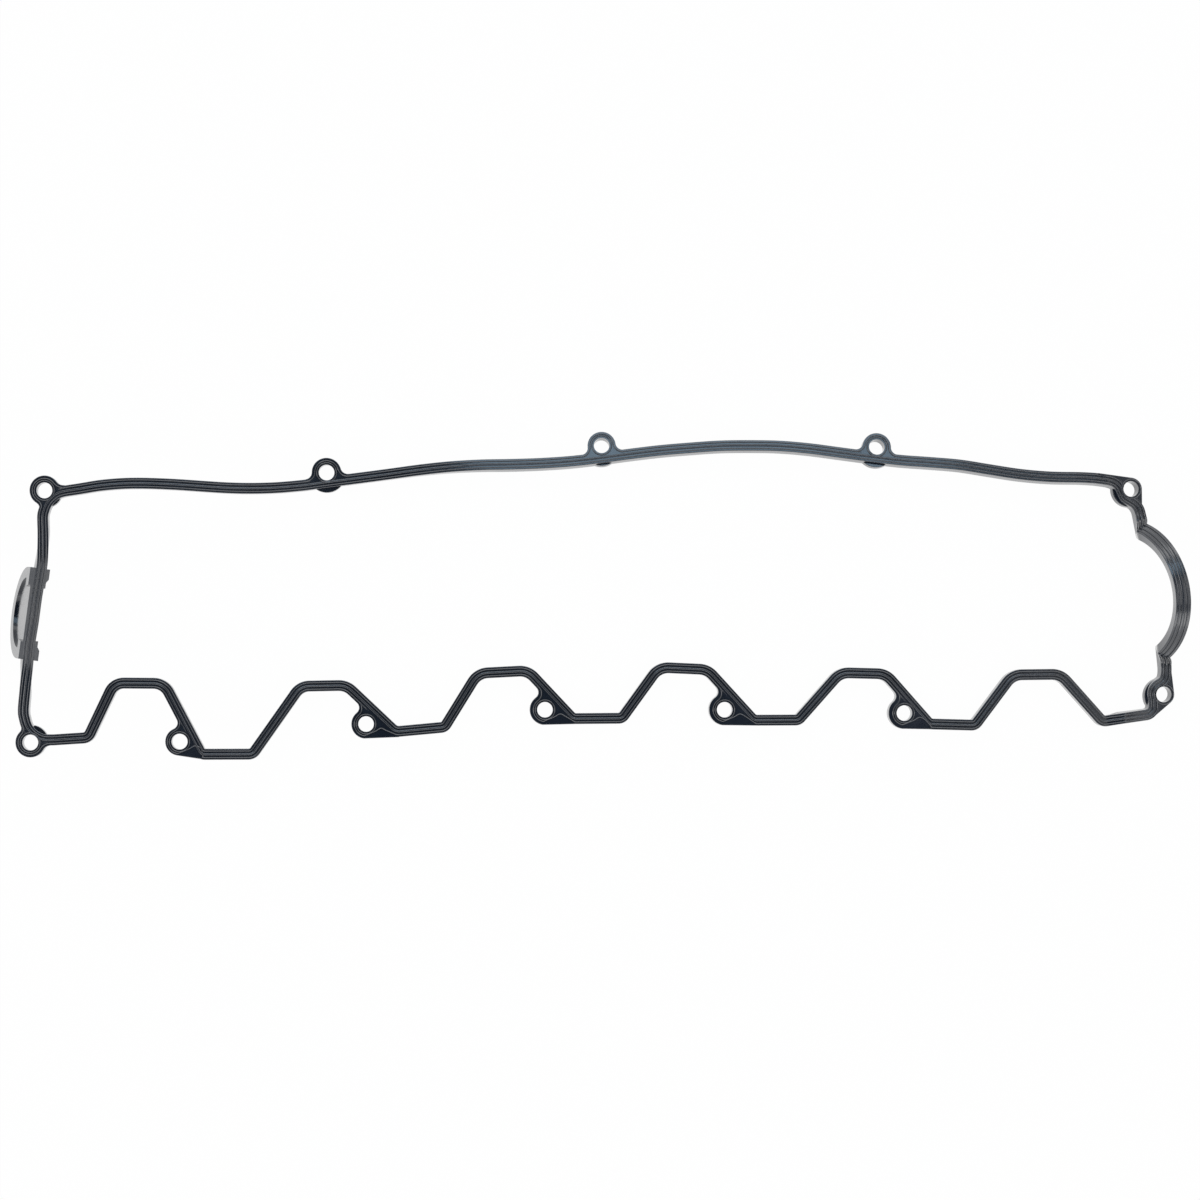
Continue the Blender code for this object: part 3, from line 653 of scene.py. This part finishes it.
def lay_down(solid, station):
    """Places a flat plate rigidly on its section of the ring."""
    for vertex in solid.data.vertices:
        vertex.co = laid(station, vertex.co.x, vertex.co.y, vertex.co.z)


def edge_index(g, stations, x, y):
    """Number of the section whose outer rib is closest to a plan point."""
    def gap(k):
        place = stations[k].at(g.strip.offset, g.full)
        return (place.x - x) ** 2 + (place.y - y) ** 2
    return min(range(len(stations)), key=gap)


def lower_run(hole):
    """Trough corner beside an eyelet, and the direction of the run that comes down to it."""
    gaps = [math.hypot(c[0] - hole[0], c[1] - hole[1]) for c in ZIGZAG]
    trough = gaps.index(min(gaps))
    tx, ty = ZIGZAG[trough][:2]
    hx, hy = ZIGZAG[trough - 1][:2]
    dx, dy = unit(tx - hx, ty - hy)
    return tx, ty, dx, dy


def fillet(hole, ring, x, y, dx, dy, reach, side):
    """Hollow arc from a straight edge to the round of an eyelet, and where it meets it."""
    nx = side * dy
    ny = -side * dx
    away = (hole[0] - x) * nx + (hole[1] - y) * ny
    ahead = (hole[0] - x) * dx + (hole[1] - y) * dy
    back = ahead - math.sqrt((ring + reach) ** 2 - (away - reach) ** 2)
    cx = x + dx * back + nx * reach
    cy = y + dy * back + ny * reach
    start = math.degrees(math.atan2(-ny, -nx))
    end = math.degrees(math.atan2(hole[1] - cy, hole[0] - cx))
    swing = (end - start + 180) % 360 - 180
    meet = math.degrees(math.atan2(cy - hole[1], cx - hole[0])) % 360
    return arc(cx, cy, reach, start, start + swing, 8), meet


def lower_edge(g, hole, radius, inset):
    """Edge of a port side eyelet from its run, through the notch, to its lowest point."""
    tx, ty, dx, dy = lower_run(hole)
    edge = g.strip.width / 2 - inset
    ring = g.eyelet.detour if inset else radius
    points, meet = fillet(hole, ring, tx + dy * edge, ty - dx * edge, dx, dy,
                          g.eyelet.notch + inset, 1)
    return points + arc(hole[0], hole[1], ring, meet, 262, 24)[1:]


def corner_edge(g, hole, radius, before, after, inset):
    """Edge of a left corner eyelet round its outer side, from one strip to the other."""
    ring = g.eyelet.detour if inset else radius
    runs = []
    for (ax, ay, bx, by, reach), side in ((before, 1), (after, -1)):
        dx, dy = unit(bx - ax, by - ay)
        x = bx - side * dy * inset
        y = by + side * dx * inset
        runs.append(fillet(hole, ring, x, y, dx, dy, reach + inset, side))
    (first, start), (last, end) = runs
    swing = (end - start) % 360
    return first + arc(hole[0], hole[1], ring, start, start + swing, 40)[1:-1] + last[::-1]


def upper_edge(g, hole, radius, station, inset):
    """Edge of an eyelet on the long strip, from one soft flare to the other."""
    x, y = hole
    out = Vector((station.out.x, station.out.y, 0)).normalized()
    along = Vector((-out.y, out.x, 0))
    gap = Vector((x - station.top.x, y - station.top.y, 0)).dot(out)
    edge = g.strip.width / 2 - inset - gap
    flare = g.eyelet.flare + inset
    ring = g.eyelet.detour if inset else radius
    spread = math.sqrt((ring + flare) ** 2 - (edge + flare) ** 2)
    meet = math.degrees(math.atan2(edge + flare, spread))
    points = arc(spread, edge + flare, flare, -90, -180 + meet, 8)
    points += arc(0, 0, ring, meet, 180 - meet, 32)[1:]
    points += arc(-spread, edge + flare, flare, -meet, -90, 8)[1:]
    return [(x + along.x * -p + out.x * q, y + along.y * -p + out.y * q) for p, q in points]


def lower_lug(g, hole, radius):
    """Eyelet that hangs from a descending run, with its notch and its flat web."""
    tx, ty, dx, dy = lower_run(hole)
    outline = lower_edge(g, hole, radius, 0.0)
    x, y = outline[0]
    outline += [(tx + 2.0, ty - g.strip.width / 2 + 0.02), (tx, ty)]
    return outline + [(x - dy * PLATE_ROOT - dx * 2.0, y + dx * PLATE_ROOT - dy * 2.0)]


def upper_lug(g, hole, radius, station):
    """Plan outline of an eyelet on the long strip, with its root inside the strip."""
    outline = upper_edge(g, hole, radius, station, 0.0)
    for x, y in (outline[-1], outline[0]):
        outline.append((x - station.out.x * PLATE_ROOT, y - station.out.y * PLATE_ROOT))
    return outline


def rib_spans(g, stations):
    """Runs of sections whose outer rib leaves the strip, and its way round the eyelet."""
    inset = g.strip.width / 2 - g.strip.offset
    ways = []
    for hole, radius in LOWER_LUGS:
        tx, ty, dx, dy = lower_run(hole)
        way = lower_edge(g, hole, radius, inset)
        bend = [(hole[0] + p, hole[1] + q) for p, q in RIB_BEND]
        end = (tx + 1.0, ty - g.strip.offset)
        ways.append((hole, way[:-1] + smooth([way[-1]] + bend + [end], 0.7)))
    for hole, radius in UPPER_LUGS:
        ways.append((hole, upper_edge(g, hole, radius, nearest(stations, *hole), inset)))
    for hole, radius, before, after, inside, reach, swing in CORNER_LUGS:
        ways.append((hole, corner_edge(g, hole, radius, before, after, inset)))
    spans = []
    for hole, way in ways:
        first = edge_index(g, stations, *way[0])
        last = edge_index(g, stations, *way[-1])
        a = stations[first].at(g.strip.offset, g.full)
        b = stations[last].at(g.strip.offset, g.full)
        spans.append((first, last, [(a.x, a.y)] + way[1:-1] + [(b.x, b.y)], hole))
    return spans


def loose_rib(g, path, station):
    """Rounded rib on a free plan path across an eyelet."""
    rows = []
    for k, (x, y) in enumerate(path):
        a = path[max(k - 1, 0)]
        b = path[min(k + 1, len(path) - 1)]
        tx, ty = unit(b[0] - a[0], b[1] - a[1])
        row = []
        low = g.strip.land - g.strip.root
        half = g.strip.edge / 2
        for o, h in [(-half, low), (half, low)] + rib(g, 0.0, g.strip.edge, g.strip.rise, 6):
            row.append(laid(station, x + ty * o, y - tx * o, h))
        rows.append(row)
    return mesh_object("detour", sweep(rows, False))


def ring_rib(g, hole, station):
    """Rounded rib turned round a bolt hole."""
    bm = bmesh.new()
    low = g.strip.land - g.strip.root
    half = g.strip.edge / 2
    points = [(-half, low), (half, low)] + rib(g, 0.0, g.strip.edge, g.strip.rise, 6)
    profile = [bm.verts.new((hole[0] + g.eyelet.ring + o, hole[1], h)) for o, h in points]
    edges = [bm.edges.new((profile[k - 1], profile[k])) for k in range(len(profile))]
    bmesh.ops.spin(bm, geom=profile + edges, cent=(hole[0], hole[1], 0), axis=(0, 0, 1),
                   angle=FULL_TURN, steps=48, use_merge=True)
    bmesh.ops.remove_doubles(bm, verts=bm.verts, dist=MERGE)
    made = mesh_object("ring_rib", bm)
    lay_down(made, station)
    return made


def drill(g, hole, station):
    """Drill that leaves a softly rounded rim."""
    bm = bmesh.new()
    top = g.strip.land
    r = g.eyelet.hole
    lip = g.eyelet.lip
    points = [(0.0, -CUT_PAST), (r, -CUT_PAST), (r, top - lip)]
    points += [(r + lip * (1 - math.cos(a)), top - lip + lip * math.sin(a))
               for a in (math.pi / 6, math.pi / 3, math.pi / 2)]
    points += [(r + lip, g.full + CUT_PAST), (0.0, g.full + CUT_PAST)]
    profile = [bm.verts.new((hole[0] + o, hole[1], h)) for o, h in points]
    edges = [bm.edges.new((a, b)) for a, b in zip(profile, profile[1:])]
    bmesh.ops.spin(bm, geom=profile + edges, cent=(hole[0], hole[1], 0), axis=(0, 0, 1),
                   angle=FULL_TURN, steps=48, use_merge=True)
    bmesh.ops.remove_doubles(bm, verts=bm.verts, dist=MERGE)
    made = mesh_object("drill", bm)
    lay_down(made, station)
    return made


def the_ring():
    """The gasket's object."""
    return bpy.data.objects["gasket_rubber"]


class GASKET_OT_strip(bpy.types.Operator):
    """Sweeps the ribbed section round the ring and over the arch"""

    bl_idname = "gasket.strip"
    bl_label = "Sealing strip"

    def execute(self, context):
        g = all_sizes(context.scene)
        stations = ring_stations(g)
        spans = rib_spans(g, stations)
        rows = []
        for k, station in enumerate(stations):
            away = any(first < k < last for first, last, path, hole in spans)
            rise = 0.0 if away else g.strip.rise
            rows.append([station.at(o, h) for o, h in section(g, rise)])
        mesh_object("gasket_rubber", sweep(rows, True))
        return {"FINISHED"}


class GASKET_OT_port_eyelets(bpy.types.Operator):
    """Adds the five eyelets of the side that goes round the ports"""

    bl_idname = "gasket.port_eyelets"
    bl_label = "Port side eyelets"

    def execute(self, context):
        g = all_sizes(context.scene)
        for hole, radius in LOWER_LUGS:
            lug = plate("lug", lower_lug(g, hole, radius), PLATE_LOW,
                        g.strip.land - g.eyelet.step, PLATE_ROUND)
            join(the_ring(), lug, "UNION")
        return {"FINISHED"}


class GASKET_OT_strip_eyelets(bpy.types.Operator):
    """Adds the three eyelets of the long strip with their low inner flanges"""

    bl_idname = "gasket.strip_eyelets"
    bl_label = "Long strip eyelets"

    def execute(self, context):
        g = all_sizes(context.scene)
        stations = ring_stations(g)
        for hole, radius in UPPER_LUGS:
            station = nearest(stations, *hole)
            outline = upper_lug(g, hole, radius, station)
            lug = plate("lug", outline, PLATE_LOW, g.strip.land - g.eyelet.step, PLATE_ROUND)
            lay_down(lug, station)
            join(the_ring(), lug, "UNION")
            drop, reach, start, end = STRIP_FLANGE
            flange = plate("flange", arc(hole[0], hole[1] - drop, reach, start, end, 24),
                           PLATE_LOW, g.eyelet.flange, FLANGE_ROUND)
            lay_down(flange, station)
            join(the_ring(), flange, "UNION")
        return {"FINISHED"}


class GASKET_OT_corner_eyelets(bpy.types.Operator):
    """Adds the four corner eyelets with their low inner flanges"""

    bl_idname = "gasket.corner_eyelets"
    bl_label = "Corner eyelets"

    def execute(self, context):
        g = all_sizes(context.scene)
        stations = ring_stations(g)
        shapes = []
        for hole, radius, before, after, inside, reach, swing in CORNER_LUGS:
            outline = corner_edge(g, hole, radius, before, after, 0.0) + inside
            shapes.append((hole, outline, arc(*hole, reach, *swing, 24), inside[1:-1]))
        for hole, radius, ties, middle, reach, swing, root in END_LUGS:
            outline = hull(arc(*hole, radius, 0, 355, 71) + ties)
            shapes.append((hole, outline, arc(*middle, reach, *swing, 32), root))
        for hole, outline, flange, root in shapes:
            station = nearest(stations, *hole)
            lug = plate("lug", outline, PLATE_LOW, g.strip.land - g.eyelet.step, PLATE_ROUND)
            lay_down(lug, station)
            join(the_ring(), lug, "UNION")
            near = min(root, key=lambda p: math.dist(p, flange[-1]))
            chain = root if near == root[0] else root[::-1]
            low = plate("flange", flange + chain, FLANGE_LOW, g.eyelet.flange, FLANGE_ROUND)
            lay_down(low, station)
            join(the_ring(), low, "UNION")
        return {"FINISHED"}


class GASKET_OT_plug(bpy.types.Operator):
    """Adds the half-moon plug under the left strip"""

    bl_idname = "gasket.plug"
    bl_label = "Half-moon plug"

    def execute(self, context):
        g = all_sizes(context.scene)
        p = g.plug
        station = nearest(ring_stations(g), *PLUG_CENTRE)
        along = Vector((math.sin(p.tilt), math.cos(p.tilt), 0))
        side = Vector((-math.cos(p.tilt), math.sin(p.tilt), 0))
        up = Vector((0, 0, 1)) * math.cos(p.lean) - side * math.sin(p.lean)
        out = side * math.cos(p.lean) + Vector((0, 0, 1)) * math.sin(p.lean)
        place = Matrix((-along, up, out)).transposed().to_4x4()
        place.translation = Vector((*PLUG_CENTRE, station.top.z)) - up * g.full

        outline = [(p.radius, g.strip.land - 0.1)] + arc(0, 0, p.radius, 0, -180, 64)
        outline += [(-p.radius, g.strip.land - 0.1)]
        block = plate("plug", outline[::-1], -p.inner, p.outer)
        opening = p.radius - p.band
        inner = p.radius - p.shoulder
        base = 2 * g.eyelet.step
        pocket = [(inner, g.strip.land + 2.0), (inner - p.slope, base), (opening, base)]
        pocket += arc(0, 0, opening, 0, -180, 56)
        pocket += [(-opening, base), (-inner + p.slope, base)]
        pocket += [(-inner, g.strip.land + 2.0)]
        for near, far in ((p.web_outer, p.outer + 1), (-p.inner - 1, -p.web_inner)):
            join(block, plate("pocket", pocket[::-1], near, far), "DIFFERENCE")

        # On the inner side the shoulders taper towards the middle of the plug
        upright = Matrix(((1, 0, 0, 0), (0, 0, 1, 0), (0, -1, 0, 0), (0, 0, 0, 1)))
        start = inner - p.slope - 0.5
        wedge = [(start, p.web_inner), (inner + p.taper, p.inner + 0.1), (start, p.inner + 0.1)]
        for outline in (wedge, [(-x, y) for x, y in wedge[::-1]]):
            cutter = plate("taper", outline, p.foot, g.strip.land + 1.0)
            cutter.data.transform(upright)
            join(block, cutter, "DIFFERENCE")

        bm = bmesh.new()
        bm.from_mesh(block.data)
        rims = [e for e in bm.edges
                if e.is_convex and e.calc_face_angle(0.0) > math.radians(40)]
        bmesh.ops.bevel(bm, geom=rims, offset=0.3, offset_type="OFFSET", segments=2,
                        profile=0.5, affect="EDGES", material=-1, clamp_overlap=True)
        bm.to_mesh(block.data)
        bm.free()
        block.data.transform(place)
        join(the_ring(), block, "UNION")
        return {"FINISHED"}


class GASKET_OT_holes(bpy.types.Operator):
    """Drills the twelve bolt holes, each square to its own eyelet"""

    bl_idname = "gasket.holes"
    bl_label = "Bolt holes"

    def execute(self, context):
        g = all_sizes(context.scene)
        stations = ring_stations(g)
        for hole in HOLES:
            join(the_ring(), drill(g, hole, nearest(stations, *hole)), "DIFFERENCE")
        return {"FINISHED"}


class GASKET_OT_ribs(bpy.types.Operator):
    """Adds the ribs round the holes and the outer rib's way round the eyelets"""

    bl_idname = "gasket.ribs"
    bl_label = "Eyelet ribs"

    def execute(self, context):
        g = all_sizes(context.scene)
        stations = ring_stations(g)
        for hole in HOLES:
            join(the_ring(), ring_rib(g, hole, nearest(stations, *hole)), "UNION")
        for first, last, path, hole in rib_spans(g, stations):
            join(the_ring(), loose_rib(g, path, nearest(stations, *hole)), "UNION")
        return {"FINISHED"}


class GASKET_OT_lie(bpy.types.Operator):
    """Lets the ring lie on its plug and sets it in the shared frame"""

    bl_idname = "gasket.lie"
    bl_label = "Lie on the floor"

    def execute(self, context):
        g = all_sizes(context.scene)
        ring = the_ring()
        for vertex in ring.data.vertices:
            rise = 1 - ease(vertex.co.x, g.lie.plateau, g.lie.end)
            vertex.co.z += g.lie.lift * rise
            vertex.co = (vertex.co + Vector(DRAWING_SHIFT)) * MM
        ring.data.shade_smooth()
        ring.data.set_sharp_from_angle(angle=math.radians(38))
        even = ring.modifiers.new("Even shading", "WEIGHTED_NORMAL")
        even.keep_sharp = True
        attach(ring, "root")
        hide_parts("gasket")
        return {"FINISHED"}


def node(tree, kind, settings=None, links=None):
    """Adds a node with its settings and its incoming links."""
    made = tree.nodes.new(kind)
    for name, value in (settings or {}).items():
        if isinstance(name, str) and hasattr(made, name):
            setattr(made, name, value)
        else:
            made.inputs[name].default_value = value
    for name, source in (links or {}).items():
        tree.links.new(source, made.inputs[name])
    return made


class GASKET_OT_rubber(bpy.types.Operator):
    """Gives the ring its black moulded rubber"""

    bl_idname = "gasket.rubber"
    bl_label = "Moulded rubber"

    def execute(self, context):
        look = context.scene.gasket_rubber
        # Compression-moulded nitrile rubber: near black with a faint blue cast, a glossy
        # skin from the polished mould and a thin dusty bloom
        rubber = bpy.data.materials.new("moulded_nitrile_rubber")
        rubber.use_nodes = True
        tree = rubber.node_tree
        shader = tree.nodes["Principled BSDF"]
        place = node(tree, "ShaderNodeTexCoord").outputs["Object"]
        # Cloudy bloom, patches about 14 mm across
        cloud = node(tree, "ShaderNodeTexNoise", {"Scale": 1 / (14 * MM), "Detail": 4.0,
                                                  "Roughness": 0.6}, {"Vector": place})
        # Fine grain of the mould's surface, about 0.7 mm so that it shows
        grain = node(tree, "ShaderNodeTexNoise", {"Scale": 1 / (0.7 * MM), "Detail": 3.0,
                                                  "Roughness": 0.55}, {"Vector": place})
        patch = node(tree, "ShaderNodeMapRange",
                     {"From Min": 0.42, "From Max": 0.68, "To Max": look.bloom_share},
                     {"Value": cloud.outputs["Fac"]})
        colour = node(tree, "ShaderNodeMix", {"data_type": "RGBA"})
        colour.inputs[6].default_value = look.black
        colour.inputs[7].default_value = look.bloom
        tree.links.new(patch.outputs["Result"], colour.inputs["Factor"])
        tree.links.new(colour.outputs[2], shader.inputs["Base Color"])
        dull = node(tree, "ShaderNodeMapRange",
                    {"From Min": 0.35, "From Max": 0.7, "To Min": look.rough_low,
                     "To Max": look.rough_high}, {"Value": cloud.outputs["Fac"]})
        tree.links.new(dull.outputs["Result"], shader.inputs["Roughness"])
        shader.inputs["IOR"].default_value = RUBBER_IOR
        shader.inputs["Coat Weight"].default_value = POLISH
        shader.inputs["Coat Roughness"].default_value = POLISH_ROUGHNESS
        bump = node(tree, "ShaderNodeBump", {"Strength": GRAIN_BUMP, "Distance": 0.05 * MM},
                    {"Height": grain.outputs["Fac"]})
        tree.links.new(bump.outputs["Normal"], shader.inputs["Normal"])
        ring = the_ring()
        ring.data.materials.clear()
        ring.data.materials.append(rubber)
        return {"FINISHED"}


def pale_floor(look):
    """Material of the floor: white to the camera and in reflections, with a faint shadow."""
    made = bpy.data.materials.new("paper_floor")
    made.use_nodes = True
    tree = made.node_tree
    tree.nodes.clear()
    paper = node(tree, "ShaderNodeBsdfDiffuse", {"Color": look.floor})
    white = node(tree, "ShaderNodeEmission", {"Color": (1, 1, 1, 1), "Strength": 1.0})
    path = node(tree, "ShaderNodeLightPath")
    seen = node(tree, "ShaderNodeMath", {"operation": "MAXIMUM"},
                {0: path.outputs["Is Camera Ray"], 1: path.outputs["Is Glossy Ray"]})
    share_seen = node(tree, "ShaderNodeMath", {"operation": "MULTIPLY", 1: FLOOR_WHITE},
                      {0: seen.outputs[0]})
    both = node(tree, "ShaderNodeMixShader", None,
                {0: share_seen.outputs[0], 1: paper.outputs[0], 2: white.outputs[0]})
    out = node(tree, "ShaderNodeOutputMaterial")
    tree.links.new(both.outputs[0], out.inputs["Surface"])
    return made


class GASKET_OT_studio(bpy.types.Operator):
    """Sets the pale floor, the soft light and the camera"""

    bl_idname = "gasket.studio"
    bl_label = "Studio"

    def execute(self, context):
        scene = context.scene
        look = scene.gasket_studio
        bm = bmesh.new()
        bmesh.ops.create_grid(bm, x_segments=1, y_segments=1, size=4.0)
        floor = mesh_object("studio_floor", bm)
        floor.data.materials.append(pale_floor(look))

        def soft_light(name, place, across, brightness, colour=(1.0, 1.0, 1.0)):
            lamp = bpy.data.lights.new(name, "AREA")
            lamp.shape = "RECTANGLE"
            lamp.size, lamp.size_y = across
            lamp.energy = brightness * math.pi * across[0] * across[1]
            lamp.color = colour
            made = bpy.data.objects.new(name, lamp)
            scene.collection.objects.link(made)
            made.location = place
            made.rotation_euler = (-Vector(place)).to_track_quat("-Z", "Y").to_euler()

        soft_light("key_light", (0.02, 0.75, 1.5), (1.1, 0.5), look.key, (0.58, 0.8, 1.0))
        soft_light("left_light", (-1.3, -0.1, 1.1), (0.6, 1.6), look.edge)
        soft_light("front_light", (0.1, -1.2, 1.2), (2.2, 0.55), look.edge)
        soft_light("back_light", (0.1, 1.5, 1.2), (2.2, 0.45), look.edge)
        soft_light("arch_light", (0.78, -0.05, 1.5), (1.1, 0.26), look.fill)

        world = bpy.data.worlds.new("studio_air")
        world.use_nodes = True
        tree = world.node_tree
        tree.nodes.clear()
        path = node(tree, "ShaderNodeLightPath")
        up = node(tree, "ShaderNodeSeparateXYZ", None,
                  {0: node(tree, "ShaderNodeTexCoord").outputs["Generated"]})
        # A light tent round the ring, white at the sides and dark overhead, draws the
        # ribs as light lines and leaves the flat places dark
        tent = node(tree, "ShaderNodeMapRange",
                    {"From Min": TENT_BRIGHT, "From Max": TENT_DARK,
                     "To Min": look.tent, "To Max": look.world}, {"Value": up.outputs["Z"]})
        level = node(tree, "ShaderNodeMapRange", {"To Max": 1.0},
                     {"Value": path.outputs["Is Camera Ray"],
                      "To Min": tent.outputs["Result"]})
        air = node(tree, "ShaderNodeBackground", {"Color": (1, 1, 1, 1)},
                   {"Strength": level.outputs["Result"]})
        out = node(tree, "ShaderNodeOutputWorld")
        tree.links.new(air.outputs[0], out.inputs["Surface"])
        scene.world = world
        scene.view_settings.view_transform = "Standard"

        lens = bpy.data.cameras.new("photo_camera")
        lens.sensor_width = 36.0
        lens.lens = 36.0 * look.height / look.field
        lens.shift_x = (look.middle_x - look.nadir_x) / look.field
        lens.shift_y = (look.middle_y - look.nadir_y) / look.field
        lens.clip_end = 20.0
        camera = bpy.data.objects.new("photo_camera", lens)
        scene.collection.objects.link(camera)
        ribs = scene.gasket_strip.land + scene.gasket_strip.rise
        camera.location = (look.nadir_x, look.nadir_y, look.height + ribs)
        scene.camera = camera
        return {"FINISHED"}


STEPS = [GASKET_OT_strip, GASKET_OT_port_eyelets, GASKET_OT_strip_eyelets,
         GASKET_OT_corner_eyelets, GASKET_OT_plug, GASKET_OT_holes, GASKET_OT_ribs,
         GASKET_OT_lie, GASKET_OT_rubber, GASKET_OT_studio]
GROUPS = {"gasket_strip": StripSizes, "gasket_eyelets": EyeletSizes,
          "gasket_arch": ArchSizes, "gasket_plug": PlugSizes, "gasket_lie": LieSizes,
          "gasket_rubber": RubberLook, "gasket_studio": StudioLook}


class GASKET_PT_sidebar(bpy.types.Panel):
    """Lists the gasket's steps and sizes"""

    bl_idname = "GASKET_PT_sidebar"
    bl_label = "Valve cover gasket"
    bl_space_type = "VIEW_3D"
    bl_region_type = "UI"
    bl_category = "Gasket"

    def draw(self, context):
        for step in STEPS:
            self.layout.operator(step.bl_idname)
        for name, group in GROUPS.items():
            box = self.layout.box()
            box.label(text=group.__doc__.rstrip("."))
            for prop in group.__annotations__:
                box.prop(getattr(context.scene, name), prop)


def register():
    """Registers the sizes, the steps and the panel."""
    for kind in list(GROUPS.values()) + STEPS + [GASKET_PT_sidebar]:
        bpy.utils.register_class(kind)
    for name, group in GROUPS.items():
        setattr(bpy.types.Scene, name, PointerProperty(type=group))


def unregister():
    """Removes the panel, the steps and the sizes."""
    for name in GROUPS:
        delattr(bpy.types.Scene, name)
    for kind in [GASKET_PT_sidebar] + STEPS[::-1] + list(GROUPS.values()):
        bpy.utils.unregister_class(kind)


def main():
    """Builds the gasket and its studio."""
    register()
    for step in STEPS:
        group, name = step.bl_idname.split(".")
        getattr(getattr(bpy.ops, group), name)()


if __name__ == "__main__":
    main()
